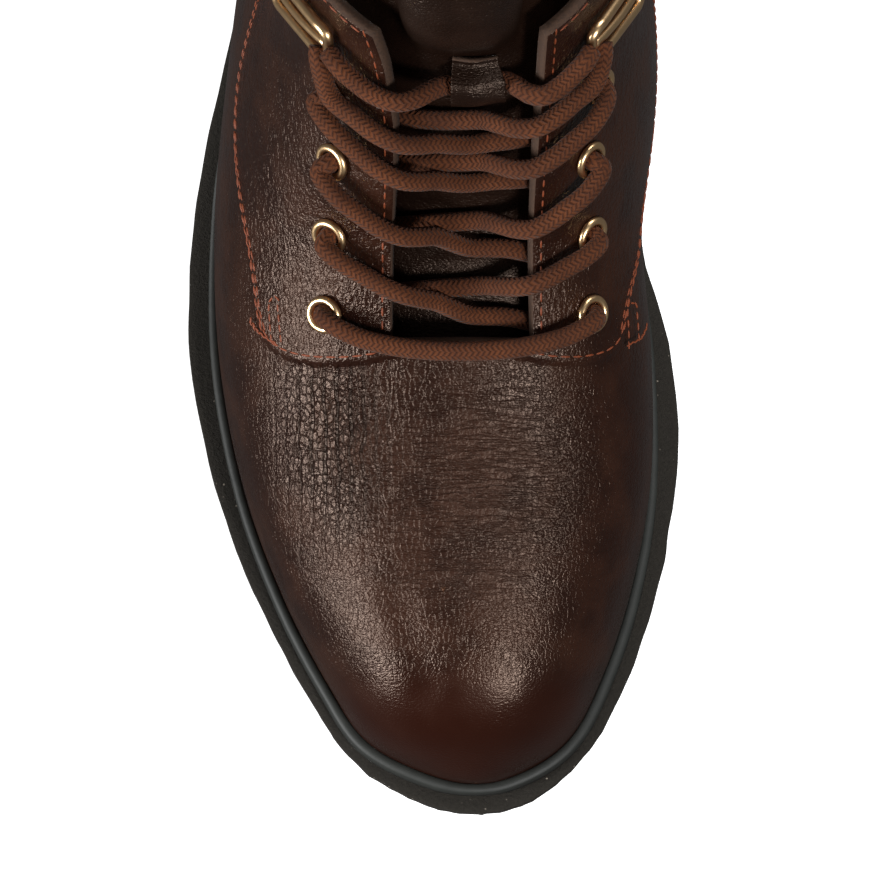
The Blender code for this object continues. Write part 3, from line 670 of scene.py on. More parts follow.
columns = len(reach)
middle = columns // 2
upper_faces = grid_faces(
    len(lays), columns, lambda i, j: i < TOE_ROWS - 1 or not (middle - INNER <= j < middle + INNER)
)
upper = new_piece("boot_upper", outer.reshape(-1, 3), upper_faces, leather)
from_heel, across_x, high = (HEEL_CENTRE - face[..., 1]) / MM, face[..., 0] / MM, face[..., 2] / MM


def region(centre_d, centre_x, reach_d, reach_x):
    """A soft patch of the vamp about a place, in millimetres."""
    return np.exp(-(((from_heel - centre_d) / reach_d) ** 2) - ((across_x - centre_x) / reach_x) ** 2)


give(upper, "along", region(193, -22, 17, 9.5) * smooth_step(on_panel * -4 + 1))
give(upper, "across", np.maximum(region(203, 9, 17, 24), 0.7 * region(222, 4, 7, 17)))
give(upper, "toe", smooth_step((from_heel - 236) / 12))
give(upper, "leg", smooth_step((186 - from_heel) / 14))
SEAM_GAP = 0.0003
shape = bmesh.new()
shape.from_mesh(upper.data)
shape.verts.ensure_lookup_table()
ends = [shape.verts[i * columns + j] for i in range(len(lays)) for j in (0, columns - 1)]
bmesh.ops.remove_doubles(shape, verts=ends, dist=SEAM_GAP)
shape.to_mesh(upper.data)
shape.free()
thicken(upper, 0.0026, lining, raw_edge)
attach(upper, "root")
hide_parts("upper")

# Tongue: a strip of glossy thin leather under the facings, creased across between the laces,
# with a padded top that swells forward between them.
TONGUE = np.array(
    [
        (5.0, 0.020, -0.0022, 0.0), (5.45, 0.022, -0.0034, 0.0), (5.95, 0.025, -0.0070, 0.0),
        (9.98, 0.030, -0.0070, 0.0), (10.25, 0.030, -0.0070, 0.0028), (10.7, 0.030, -0.0070, 0.0062),
        (11.3, 0.030, -0.0070, 0.0088), (12.2, 0.030, -0.0068, 0.0100), (13.0, 0.030, -0.0062, 0.0090),
        (13.5, 0.0295, -0.0056, 0.0076), (13.8, 0.0290, -0.0052, 0.0060),
    ]
).T
PAD_HALF = 0.0155
TONGUE_ROWS, TONGUE_COLUMNS = 170, 60
tongue_s = np.linspace(TONGUE[0][0], TONGUE[0][-1], TONGUE_ROWS)[:, None]
half, place, push = (np.interp(tongue_s, TONGUE[0], TONGUE[k]) for k in (1, 2, 3))
soften = np.ones(9) / 9
for values in (place, push):
    padded = np.pad(values[:, 0], 4, mode="edge")
    values[:, 0] = np.convolve(padded, soften, mode="valid")
tongue_q = np.linspace(-1, 1, TONGUE_COLUMNS)[None, :]
TOP_FROM, TOP_ROUND = 12.4, 0.55
near_top = np.clip((tongue_s - TOP_FROM) / (TONGUE[0][-1] - TOP_FROM), 0, 1)
tongue_s = tongue_s - TOP_ROUND * tongue_q**4 * near_top
half, place, push = (v + 0 * tongue_q for v in (half, place, push))
ridge = np.interp(tongue_s, LAYS, ridge_line)
tongue_turn = turn_at_x(tongue_s + 0 * tongue_q, ridge + half * tongue_q)
swell = push * (1 - np.clip(np.abs(half * tongue_q) / PAD_HALF, 0, 1) ** 3)
CREASES = 46
rng = np.random.default_rng(11)
creases = np.zeros(tongue_turn.shape)
for _ in range(CREASES):
    at = rng.uniform(6.1, 9.9)
    tilt, bow = rng.uniform(-0.16, 0.16), rng.uniform(-0.12, 0.12)
    centre, span = rng.uniform(-0.35, 0.35), rng.uniform(0.12, 0.4)
    depth, wide = rng.uniform(0.10, 0.32) * MM, rng.uniform(0.03, 0.06)
    line = at + tilt * (tongue_q - centre) + bow * (tongue_q - centre) ** 2
    fade = np.exp(-(((tongue_q - centre) / span) ** 4))
    creases -= depth * fade * np.exp(-(((tongue_s - line) / wide) ** 2))
tongue_points = offset_point(tongue_s + 0 * tongue_q, tongue_turn, place + swell + creases)
# The third colour is the painted shade put into the pebble hollows.
tongue_leather = waxed_leather(
    "thin_glazed_leather", "#140905", "#1c0f09", "#080302", 1.2 * MM, (1.4, 0.9, 1.0), 0.38, False
)
tongue_faces = grid_faces(TONGUE_ROWS, TONGUE_COLUMNS)
tongue = new_piece("boot_tongue", tongue_points.reshape(-1, 3), tongue_faces, tongue_leather)
thicken(tongue, 0.0022, lining, raw_edge)
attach(tongue, "root")
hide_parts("tongue")

# Sole: black blown rubber with a rough cut edge, and a smooth rubber rand cemented round the
# foot of the upper. Rings are set out from the line where the upper meets the sole.
SIDE_POINTS, FOOT_POINTS = 150, 240
TOE_LAYS, HEEL_LAYS = (0.02, 3.0), (9.0, 10.5)


def foot_line(offset, over):
    """Points (x, y) of each side where the last at this offset stands this far over the bed."""

    def excess(s, turn):
        x, y, z = np.moveaxis(offset_point(s, turn, offset), -1, 0)
        return z - bed_height(HEEL_CENTRE - y) - over

    under = math.pi * 0.999
    toe = find(lambda s: excess(s, under), *TOE_LAYS)
    heel = find(lambda s: excess(s, under), *HEEL_LAYS)
    s = toe + (heel - toe) * (1 - np.cos(np.linspace(0, math.pi, FOOT_POINTS))) / 2
    lines = []
    for side in (-1, 1):
        start, stop = np.full(FOOT_POINTS, math.pi / 3), np.full(FOOT_POINTS, under)
        turn = find(lambda t: excess(s, side * t), start, stop)
        lines.append(offset_point(s, side * turn, offset)[:, :2])
    return lines


def set_out(lines, ledge):
    """The foot line moved outwards in plan by ledge, a length or a function of the plan."""
    ring = np.vstack([lines[0], lines[1][::-1]])
    ring = ring[np.linalg.norm(np.diff(ring, axis=0, append=ring[:1]), axis=1) > 1e-5]
    tangent = np.roll(ring, -4, axis=0) - np.roll(ring, 4, axis=0)
    normal = np.stack([tangent[:, 1], -tangent[:, 0]], -1)
    normal /= np.linalg.norm(normal, axis=1, keepdims=True)
    if ((ring - ring.mean(axis=0)) * normal).sum() < 0:
        normal = -normal
    width = ledge(ring) if callable(ledge) else ledge
    return ring + normal * np.reshape(width, (-1, 1))


def paired(ring, extra=()):
    """The ring as rows (y, lateral x, medial x), close together at toe and heel."""
    toe, heel = ring[:, 1].argmin(), ring[:, 1].argmax()
    ends = ring[toe], ring[heel]
    share = (1 - np.cos(np.linspace(0, math.pi, SIDE_POINTS + 2))) / 2
    ys = np.sort(np.append(ends[0][1] + (ends[1][1] - ends[0][1]) * share[1:-1], extra))
    rows = []
    for path in (np.roll(ring, -toe, axis=0), np.roll(ring[::-1], toe + 1, axis=0)):
        stop = path[:, 1].argmax() + 1
        rows.append(np.interp(ys, path[:stop, 1], path[:stop, 0]))
    rows.sort(key=lambda x: x.mean())
    return ends, ys, rows[0], rows[1]


def ring_points(pairs, height):
    """A closed ring of points from pairs, z from a function of d."""
    (toe, heel), ys, lateral, medial = pairs
    plan = [tuple(toe)] + list(zip(medial, ys)) + [tuple(heel)] + list(zip(lateral, ys))[::-1]
    return [(x, y, float(height(HEEL_CENTRE - y))) for x, y in plan]


def strips(size, base):
    """Faces across a ring of this size that starts at index base: toe, strips, heel."""
    half = (size - 2) // 2
    medial = [base + 1 + i for i in range(half)]
    lateral = [base + size - 1 - i for i in range(half)]
    faces = [(base, medial[0], lateral[0]), (base + 1 + half, medial[-1], lateral[-1])]
    for i in range(half - 1):
        faces.append((lateral[i], medial[i], medial[i + 1], lateral[i + 1]))
    return faces


LEDGE = np.array(
    [
        (0.00, 0.0046, 0.0046), (0.25, 0.0058, 0.0040), (0.50, 0.0064, 0.0036),
        (0.57, 0.0070, 0.0036), (0.63, 0.0070, 0.0064), (0.70, 0.0065, 0.0073),
        (0.77, 0.0058, 0.0062), (0.85, 0.0051, 0.0054), (0.92, 0.0048, 0.0049),
        (0.965, 0.0044, 0.0044), (1.00, 0.0064, 0.0064),
    ]
).T
EDGE_T, EDGE_STEP, WALL_TAPER = 0.0045, 0.0008, 0.0016
HEEL_BREAST, BREAST_SLOPE = 0.074, 0.002
ARCH_RISE, ARCH_END = 0.013, 0.148
TREAD_SPRING_START, TREAD_SPRING, TREAD_SPRING_END = 0.200, 0.0095, 0.268
BOTTOM_ROUND = 0.0012


def ledge_width(plan):
    """Width of the ledge at each point of plan, blended from side to side at toe and heel."""
    places, lateral, medial = LEDGE
    share = (HEEL_CENTRE - plan[:, 1]) / LENGTH
    side = smooth_step(plan[:, 0] / BALL + 0.5)
    return np.interp(share, places, lateral) * (1 - side) + np.interp(share, places, medial) * side


def tread_height(d):
    """Height of the underside of the sole."""
    if d < HEEL_BREAST:
        return 0.0
    if d < ARCH_END:
        past = (d - HEEL_BREAST - BREAST_SLOPE) / (ARCH_END - HEEL_BREAST - BREAST_SLOPE)
        return ARCH_RISE * float(1 - smooth_step(past)) if past >= 0 else 0.0
    past = max(d - TREAD_SPRING_START, 0.0) / (TREAD_SPRING_END - TREAD_SPRING_START)
    return TREAD_SPRING * past**1.7


# Blown rubber, dull, with a crumb from the cut and pale dust in patches.
blown_rubber, tree, shader = new_material("blown_rubber")
crumb = object_noise(tree, 1500.0, 5.0, 0.7)
coords = object_coords(tree)
dust = node(tree, "ShaderNodeTexVoronoi", {"Vector": coords, "Scale": 520.0}).outputs["Distance"]
specks = linear(tree, dust, {"From Min": 0.13, "From Max": 0.07})
patches = linear(tree, object_noise(tree, 90.0, 2.0), {"From Min": 0.52, "From Max": 0.6})
ground = mixed(tree, crumb, colour("#171512"), colour("#36322c"))
dusty = mixed(tree, maths(tree, "MULTIPLY", specks, patches), ground, colour("#8d8478"))
finish(tree, shader, dusty, 0.9, crumb, 0.35 * MM)
shader.inputs["Specular IOR Level"].default_value = 0.3

# Pressed rubber of the rand, smoother and a little greyer.
smooth_rubber = flecked("smooth_rubber_rand", "#1f211f", "#30322f", 300.0, 5.0, 0.6, 0.1 * MM)

outer_line = foot_line(0.0, GAP)
BREAST_YS = [HEEL_CENTRE - HEEL_BREAST + 1e-6, HEEL_CENTRE - HEEL_BREAST - BREAST_SLOPE]
rough_rng = np.random.default_rng(5)


def ragged(size, strength):
    """Small uneven steps along the cut edge."""
    noise = rough_rng.normal(0, 1, size)
    smooth = np.convolve(np.pad(noise, 2, mode="wrap"), [0.15, 0.25, 0.3, 0.25, 0.15], mode="valid")
    return smooth * strength


RAGGED = ragged(len(set_out(outer_line, 0.0)), 0.00022)
EDGE_ROUND, SHARP_ANGLE = 0.0005, math.radians(35)
levels = []
for inset, height in (
    (0.0040, bed_height),
    (0.0020, lambda d: bed_height(d) + 0.0001),
    (EDGE_ROUND * 1.4, bed_height),
    (EDGE_ROUND * 0.4, lambda d: bed_height(d) - EDGE_ROUND * 0.35),
    (0.0, lambda d: bed_height(d) - EDGE_ROUND * 1.3),
    (0.0, lambda d: bed_height(d) - EDGE_T * 0.5),
    (0.0001, lambda d: bed_height(d) - EDGE_T + 0.0004),
    (0.0004, lambda d: bed_height(d) - EDGE_T),
    (EDGE_STEP, lambda d: bed_height(d) - EDGE_T),
    (EDGE_STEP + 0.0001, lambda d: bed_height(d) - EDGE_T - 0.0004),
    (WALL_TAPER, lambda d: tread_height(d) + BOTTOM_ROUND),
    (WALL_TAPER + BOTTOM_ROUND * 0.3, lambda d: tread_height(d) + BOTTOM_ROUND * 0.3),
    (WALL_TAPER + BOTTOM_ROUND, tread_height),
):
    ring = set_out(outer_line, lambda plan: ledge_width(plan) - inset + RAGGED * (inset < 0.0019))
    levels.append(ring_points(paired(ring, BREAST_YS), height))
size = len(levels[0])
points, faces = join_rings(levels)
faces += strips(size, 0) + strips(size, (len(levels) - 1) * size)
sole = new_piece("boot_sole", points, faces, blown_rubber)

CHANNEL_DEPTH, CHANNEL_W = 0.0035, 0.005
CHANNELS_AT = [0.014, 0.030, 0.046, 0.062, 0.160, 0.176, 0.192, 0.208, 0.224, 0.240]
CHANNEL_REACH, SIDE_REACH = 0.030, 0.09
cutters = []
for i, d in enumerate(CHANNELS_AT):
    roof = tread_height(d) + CHANNEL_DEPTH
    reach_x = SIDE_REACH if i % 2 else CHANNEL_REACH
    low_d, high_d = d - CHANNEL_W / 2, d + CHANNEL_W / 2
    outline = [(low_d, -0.02), (high_d, -0.02), (high_d, roof), (low_d, roof)]
    corners = [(x, HEEL_CENTRE - dd, z) for x in (-reach_x, reach_x) for dd, z in outline]
    sides = [(k, (k + 1) % 4, 4 + (k + 1) % 4, 4 + k) for k in range(4)] + [(3, 2, 1, 0), (4, 5, 6, 7)]
    cutter = new_piece(f"channel_{i}", corners, sides, blown_rubber, smooth=False)
    cutters.append(cutter)
for piece in [sole] + cutters:
    face_outwards(piece)
for cutter in cutters:
    cut = sole.modifiers.new(cutter.name, "BOOLEAN")
    cut.operation = "DIFFERENCE"
    cut.object = cutter
settle(sole)
for cutter in cutters:
    bpy.data.objects.remove(cutter, do_unlink=True)
sole.data.set_sharp_from_angle(angle=SHARP_ANGLE)
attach(sole, "root")
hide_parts("outsole")

WELT_W, WELT_H = 0.0022, 0.0042
welt_rings = []
for over, line_over, out in (
    (GAP, GAP, 0.0),
    (WELT_H / 2, WELT_H / 2, 0.0),
    (WELT_H - 0.0004, WELT_H, -0.0001),
    (WELT_H, WELT_H, 0.0004),
    (WELT_H, WELT_H, WELT_W * 0.5),
    (WELT_H - 0.0002, WELT_H * 0.7, WELT_W * 0.85),
    (WELT_H - 0.0009, WELT_H / 2, WELT_W),
    (WELT_H * 0.5, WELT_H / 4, WELT_W + 0.0001),
    (GAP * 0.5, GAP, WELT_W + GAP),
):
    edge = set_out(foot_line(0.0, line_over), out)
    welt_rings.append(ring_points(paired(edge), lambda d, over=over: bed_height(d) + over))
points, faces = join_rings(welt_rings, closed=True)
rand = new_piece("boot_rand", points, faces, smooth_rubber)
face_outwards(rand)
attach(rand, "root")
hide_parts("welt")

# Insole: a leather-topped sock, kept as the solid with its own look. It shows through the
# collar only.
sock = flecked("leather_sock", "#3c2a1f", "#5c4433", 700.0, 4.0, 0.7, 0.12 * MM)
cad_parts["insole"].data.materials.clear()
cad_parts["insole"].data.materials.append(sock)

# Eyelets: rolled brass tubes with a domed flange, plated pale gold. Each is seated on the
# facing, square to the leather.
EYELET_ROWS = [
    ((6.28, -0.0268), (6.28, 0.0258)),
    ((7.15, -0.0254), (7.12, 0.0255)),
    ((8.15, -0.0242), (8.13, 0.0246)),
    ((9.00, -0.0240), (8.98, 0.0264)),
]
FLANGE_R, HOLE_R, BARREL_R = 0.0040, 0.0023, 0.00275
FLANGE_T, BARREL_DROP, SEAT_LIFT = 0.0009, 0.0036, 0.0004
AROUND, DOME_STEPS = 48, 8


def ridge_x(s):
    return float(last_point(s, 0.0)[0])


def seat(s, x, offset):
    """A place on the facing and the turn that sets +Z along its outward normal."""
    turn = float(turn_at_x(s, x))
    normal = Vector(last_normal(s, turn))
    along = normal.cross(Vector((1, 0, 0))).normalized()
    place = Matrix((along.cross(normal), along, normal)).transposed().to_4x4()
    place.translation = Vector(offset_point(s, turn, offset))
    return place


# Brass plated pale gold and polished, a little duller where it is handled.
gold, tree, shader = new_material("pale_gold_plated_brass")
rubbed = linear(tree, object_noise(tree, 700.0, 3.0), {"To Min": 0.26, "To Max": 0.36})
tree.links.new(rubbed, shader.inputs["Roughness"])
shader.inputs["Base Color"].default_value = colour("#ffd6a2")
shader.inputs["Metallic"].default_value = 1.0

round_the_hole = np.linspace(0, 2 * math.pi, AROUND, endpoint=False)
for row, places in enumerate(EYELET_ROWS, 1):
    for (s, x), letter in zip(places, "lr"):
        place = seat(s, ridge_x(s) + x, PANEL_STEP + SEAT_LIFT)
        width = (FLANGE_R - HOLE_R) / 2
        middle_r = (FLANGE_R + HOLE_R) / 2
        profile = [(BARREL_R, -BARREL_DROP), (BARREL_R, 0.0), (FLANGE_R * 0.97, 0.0)]
        for k in range(DOME_STEPS + 1):
            a = math.pi * k / DOME_STEPS
            profile.append((middle_r + width * math.cos(a), GAP + FLANGE_T * math.sin(a)))
        profile += [(HOLE_R + 0.00005, -0.0004), (HOLE_R + 0.00015, -BARREL_DROP)]
        rings = [
            [place @ Vector((r * math.cos(a), r * math.sin(a), z)) for a in round_the_hole]
            for r, z in profile
        ]
        points, faces = join_rings(rings, closed=True)
        eyelet = new_piece(f"gold_eyelet_{letter}{row}", points, faces, gold)
        face_outwards(eyelet)
        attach(eyelet, "root")
        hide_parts(f"eyelet_{letter}{row}")

# Laces: round braided cotton, 4 mm thick, waxed brown. One lace crosses from row to row and
# dives through each eyelet.
LACE_R, LACE_STEP, TUBE_SIDES = 0.0020, 0.0005, 16


def spline(points):
    """A smooth path through the points, sampled every LACE_STEP."""
    p = np.array([points[0], *points, points[-1]], float)
    fine = []
    for i in range(1, len(p) - 2):
        a, b, c, e = p[i - 1], p[i], p[i + 1], p[i + 2]
        for u in np.linspace(0, 1, 12, endpoint=False):
            fine.append(smooth_curve(a, b, c, e, u))
    fine = np.array(fine + [p[-2]])
    length = np.append(0, np.cumsum(np.linalg.norm(np.diff(fine, axis=0), axis=1)))
    at = np.linspace(0, length[-1], max(int(length[-1] / LACE_STEP), 2))
    return np.stack([np.interp(at, length, fine[:, k]) for k in range(3)], -1)


def over_foot(path):
    """Points for a path of (lay, x from the ridge, height over the vamp)."""
    return [offset_point(s, float(turn_at_x(s, ridge_x(s) + x)), o) for s, x, o in path]


def tubes(name, paths, radius, look, closed=False):
    """Round bars along the paths in one mesh, with a UV map: round the bar, and along it in mm."""
    points, faces, uvs, sides = [], [], [], TUBE_SIDES
    for path in paths:
        path = [Vector(p) for p in path]
        count, base, side, run = len(path), len(points), None, 0.0
        for i, p in enumerate(path):
            before = path[i - 1] if closed or i else path[0]
            after = path[(i + 1) % count] if closed or i + 1 < count else path[-1]
            along = (after - before).normalized()
            side = (side or Vector((0, 0, 1))).cross(along).cross(along).normalized() * -1
            lift = along.cross(side)
            for k in range(sides):
                a = 2 * math.pi * k / sides
                points.append(p + (side * math.cos(a) + lift * math.sin(a)) * radius)
        length = [0.0]
        for a, b in zip(path, path[1:] + path[:1]):
            length.append(length[-1] + (b - a).length / MM)
        for i in range(count if closed else count - 1):
            for k in range(sides):
                j, here, there = (k + 1) % sides, base + i * sides, base + (i + 1) % count * sides
                faces.append((here + k, there + k, there + j, here + j))
                low, high = k / sides, (k + 1) / sides
                uvs += [(low, length[i]), (low, length[i + 1]), (high, length[i + 1]), (high, length[i])]
        if not closed:
            faces.append(tuple(base + k for k in range(sides)))
            faces.append(tuple(base + (count - 1) * sides + k for k in reversed(range(sides))))
            uvs += [(0.5, 0.0)] * sides * 2
    piece = new_piece(name, points, faces, look)
    layer = piece.data.uv_layers.new(name="UVMap")
    layer.data.foreach_set("uv", np.array(uvs, np.float32).ravel())
    return piece


BRAID_COLUMNS, BRAID_PITCH, BRAID_LEAN = 12.0, 1.1, 0.6
# Waxed cotton braid: columns of strands along the lace that lean one way and the other by
# turns, with fuzz, and painted shade that darkens the hollows between strands, broken by an uneven tone.
braid, tree, shader = new_material("waxed_braided_cotton")
uv = node(tree, "ShaderNodeUVMap", uv_map="UVMap").outputs[0]
split = node(tree, "ShaderNodeSeparateXYZ", {0: uv}).outputs
column = maths(tree, "MULTIPLY", split[0], BRAID_COLUMNS)
turned = maths(tree, "FRACT", maths(tree, "MULTIPLY", column, 0.5))
way = maths(tree, "MULTIPLY_ADD", maths(tree, "GREATER_THAN", turned, 0.5), 2.0, -1.0)
lean = maths(tree, "MULTIPLY", maths(tree, "FRACT", column), way)
run = maths(tree, "DIVIDE", split[1], BRAID_PITCH)
saw = maths(tree, "FRACT", maths(tree, "MULTIPLY_ADD", lean, BRAID_LEAN, run))
strand_height = maths(tree, "SINE", maths(tree, "MULTIPLY", saw, math.pi))
height = maths(tree, "MULTIPLY_ADD", object_noise(tree, 3500.0, 3.0), 0.5, strand_height)
# Painted shade: strand tops lighter and hollows darker, times a random tone.
lightness = maths(tree, "MULTIPLY", strand_height, object_noise(tree, 160.0, 3.0))
strand_shade_and_tone = linear(tree, lightness, {"From Min": 0.05, "From Max": 0.62})
finish(tree, shader, mixed(tree, strand_shade_and_tone, colour("#3a1c0d"), colour("#613419")), 0.85, height, 0.20 * MM)
shader.inputs["Specular IOR Level"].default_value = 0.25
shader.inputs["Sheen Weight"].default_value = 0.05
shader.inputs["Sheen Roughness"].default_value = 0.5

# (x towards its eyelet, share of the way from its middle lay to its eyelet's, offset)
STRAND = [
    (-0.0118, -0.02, -0.0043), (-0.0080, -0.01, -0.0043), (-0.0020, 0.01, -0.0036),
    (0.0015, 0.09, -0.0024), (0.0050, 0.20, -0.0008), (0.0080, 0.28, 0.0014),
    (0.0110, 0.37, 0.0034), (0.0145, 0.48, 0.0041), (0.0180, 0.61, 0.0042),
    (0.0218, 0.78, 0.0049), (0.0250, 0.93, 0.0044),
]
LOW_STRAND = [
    (-0.0118, -0.04, -0.0044), (-0.0050, 0.00, -0.0044), (0.0000, 0.02, -0.0044),
    (0.0050, 0.06, -0.0038), (0.0080, 0.12, -0.0016), (0.0106, 0.20, 0.0013),
    (0.0132, 0.30, 0.0035), (0.0160, 0.42, 0.0041), (0.0190, 0.57, 0.0043),
    (0.0222, 0.75, 0.0049), (0.0250, 0.93, 0.0044),
]
STRAND_ROWS = {
    2: (6.43, 6.17, 7.12, 7.15),
    3: (7.15, 6.88, 8.13, 8.15),
    4: (8.16, 7.84, 8.98, 9.00),
    5: (8.86, 8.50, 9.60, 9.45),
}
DIVE = [0.0012, -0.0012, -0.0036]


def dive(side, row):
    """The end of a strand, down through its eyelet."""
    s, x = EYELET_ROWS[row - 1][side]
    return [(s, x, PANEL_STEP + o) for o in DIVE]


TO_FRAME = [(9.72, 0.0238, 0.0047), (9.90, 0.0246, 0.0036)]
BACK_UNDER = (-0.0170, -0.06, -0.0046)
for row, (low_lay, high_lay, medial_end, lateral_end) in STRAND_ROWS.items():
    low = [(low_lay + (medial_end - low_lay) * w, x, o) for x, w, o in [BACK_UNDER] + LOW_STRAND]
    high = [(high_lay + (lateral_end - high_lay) * w, -x, o) for x, w, o in [BACK_UNDER] + STRAND]
    if row <= 4:
        low += dive(1, row)
        high += dive(0, row)
    else:
        low, high = low[:-1] + TO_FRAME, high[:-1] + [(s, -x, o) for s, x, o in TO_FRAME]
    paths = [spline(over_foot(path)) for path in (low, high)]
    strand = tubes(f"lace_pair_{row}", paths, LACE_R, braid)
    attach(strand, "root")
    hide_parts(f"lace_cross_{row}")

BAR = [(0.0, 5.94, 0.0039), (0.010, 5.97, 0.0039), (0.018, 6.06, 0.0042), (0.0225, 6.17, 0.0047)]
BAR += [(0.0250, 6.24, 0.0040)]
across = [(s, -x, o) for x, s, o in BAR[:0:-1]] + [(s, x, o) for x, s, o in BAR]
path = dive(0, 1)[::-1] + across + dive(1, 1)
bar = tubes("lace_front_bar", [spline(over_foot(path))], LACE_R, braid)
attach(bar, "root")
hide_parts("lace_bar")

TOP_LACE = [
    (9.98, -0.0225, 0.0040), (9.92, -0.0205, 0.0046), (9.78, -0.0182, 0.0043),
    (9.66, -0.0148, 0.0041), (9.60, -0.0112, 0.0034), (9.57, -0.0084, 0.0010),
    (9.54, -0.0062, -0.0020), (9.51, -0.0036, -0.0041), (9.50, 0.0000, -0.0044),
    (9.50, 0.0095, -0.0044), (9.53, 0.0112, -0.0028), (9.56, 0.0120, -0.0006),
    (9.59, 0.0127, 0.0018), (9.63, 0.0142, 0.0038), (9.70, 0.0168, 0.0042),
    (9.82, 0.0190, 0.0044), (9.92, 0.0205, 0.0046), (9.98, 0.0222, 0.0040),
]
top = tubes("lace_top_row", [spline(over_foot(TOP_LACE))], LACE_R, braid)
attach(top, "root")
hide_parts("lace_top")

# Strap: a short leather keeper sewn to the tongue. Its ends lie on the tongue and its middle
# rises over the top lace, which runs under it.
STRAP_LAY, LAY_LENGTH = 9.12, 0.0175
STRAP_X = (-0.0020, 0.0092)
STRAP_ROWS, STRAP_COLUMNS = 41, 25
STRAP_VIEW = [(0.0, -0.0054), (0.0016, -0.0054), (0.0034, -0.0009), (0.0101, -0.0009)]
STRAP_VIEW += [(0.0119, -0.0054), (0.0135, -0.0054)]
steps = np.linspace(0, 5, STRAP_ROWS)
run_up, rise = (np.interp(steps, range(6), values) for values in zip(*STRAP_VIEW))
rise = np.convolve(np.pad(rise, 3, mode="edge"), np.ones(7) / 7, mode="valid")
strap_x = np.linspace(*STRAP_X, STRAP_COLUMNS)
strap_points = []
for up, offset in zip(run_up, rise):
    s = STRAP_LAY + up / LAY_LENGTH
    for x in strap_x:
        wave = 0.00018 * math.sin(up / 0.0011 + x / 0.003) + 0.0002 * math.sin(x / 0.0016)
        strap_points.append(offset_point(s, float(turn_at_x(s, ridge_x(s) + x)), offset + wave))
strap_faces = grid_faces(STRAP_ROWS, STRAP_COLUMNS)
strap = new_piece("tongue_keeper", strap_points, strap_faces, tongue_leather)
thicken(strap, 0.0011, raw_edge)
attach(strap, "root")
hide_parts("tongue_strap")

# Top row: plain rounded frames with one bar, cast and plated like the eyelets. They lie flat
# on the shaft beside the facing's edge.
LOOP_LAY = (10.05, 9.98)
LOOP_ROUND, LOOP_HALF, LOOP_RISE = 0.039, 0.0115, 0.0058
LOOP_CORNER, LOOP_R, LOOP_LIFT = 0.0032, 0.0011, 0.0008
CORNER_STEPS = 10


def on_shaft(side, around, up):
    """A place this far round from the ridge and this far up from the frame's lay."""
    s = LOOP_LAY[side] + up / LAY_LENGTH
    turns = np.linspace(0, (-1, 1)[side] * math.pi / 2, 90)
    steps = np.linalg.norm(np.diff(last_point(np.full(90, s), turns), axis=0), axis=1)
    turn = float(np.interp(around, np.append(0, np.cumsum(steps)), turns))
    return offset_point(s, turn, PANEL_STEP + LOOP_R + LOOP_LIFT)


for side, letter in enumerate("lr"):
    oblong = []
    for corner, (far, high) in enumerate(((1, 1), (-1, 1), (-1, -1), (1, -1))):
        for k in range(CORNER_STEPS):
            a = math.pi / 2 * (corner + k / (CORNER_STEPS - 1))
            around = LOOP_ROUND + far * (LOOP_HALF - LOOP_CORNER) + LOOP_CORNER * math.cos(a)
            up = high * (LOOP_RISE - LOOP_CORNER) + LOOP_CORNER * math.sin(a)
            oblong.append(on_shaft(side, around, up))
    ring = tubes(f"gold_frame_{letter}", [oblong], LOOP_R, gold, closed=True)
    line = LOOP_ROUND + LOOP_HALF * np.linspace(-1, 1, 15)
    bar = tubes(f"gold_bar_{letter}", [[on_shaft(side, a, 0.0) for a in line]], LOOP_R * 0.9, gold)
    for piece in (ring, bar):
        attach(piece, "root")
        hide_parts(f"top_loop_{letter}")

# Stitching: rust waxed thread, stitches of 2 to 3 mm sunk a little into the leather, in rows
# beside each edge. A node tree lays one stitch for each pitch of a row.
thread = flecked("rust_waxed_thread", "#5e2410", "#9a4c24", 2500.0, 2.0, 0.6, 0.08 * MM)


def stitch_tree():
    """Lays one stitch along a line for each pitch of its length."""
    made = bpy.data.node_groups.new("stitch_rows", "GeometryNodeTree")
    face = made.interface
    face.new_socket("Geometry", in_out="INPUT", socket_type="NodeSocketGeometry")
    for name in ("Pitch", "Length", "Thickness"):
        face.new_socket(name, in_out="INPUT", socket_type="NodeSocketFloat")
    face.new_socket("Thread", in_out="INPUT", socket_type="NodeSocketMaterial")
    face.new_socket("Geometry", in_out="OUTPUT", socket_type="NodeSocketGeometry")
    given = node(made, "NodeGroupInput").outputs
    curve = node(made, "GeometryNodeMeshToCurve", {"Mesh": given["Geometry"]})
    wanted = {"Curve": curve.outputs[0], "Length": given["Pitch"]}
    even = node(made, "GeometryNodeResampleCurve", wanted, mode="LENGTH")
    ball = node(made, "GeometryNodeMeshUVSphere", {"Segments": 8, "Rings": 6, "Radius": 0.5})
    across, along = given["Thickness"], given["Length"]
    size = node(made, "ShaderNodeCombineXYZ", {0: across, 1: across, 2: along})
    points = node(made, "GeometryNodeCurveToPoints", {"Curve": even.outputs[0]}, mode="EVALUATED")
    tangent = {"Vector": points.outputs["Tangent"]}
    turned = node(made, "FunctionNodeAlignRotationToVector", tangent, axis="Z")
    wanted = {"Points": points.outputs["Points"], "Instance": ball.outputs["Mesh"]}
    wanted.update({"Rotation": turned.outputs[0], "Scale": size.outputs[0]})
    placed = node(made, "GeometryNodeInstanceOnPoints", wanted)
    smooth = node(made, "GeometryNodeRealizeInstances", {0: placed.outputs[0]})
    shaded = node(made, "GeometryNodeSetShadeSmooth", {0: smooth.outputs[0]})
    dyed = {"Geometry": shaded.outputs[0], "Material": given["Thread"]}
    coloured = node(made, "GeometryNodeSetMaterial", dyed)
    node(made, "NodeGroupOutput", {0: coloured.outputs[0]})
    return made


STITCHES = stitch_tree()


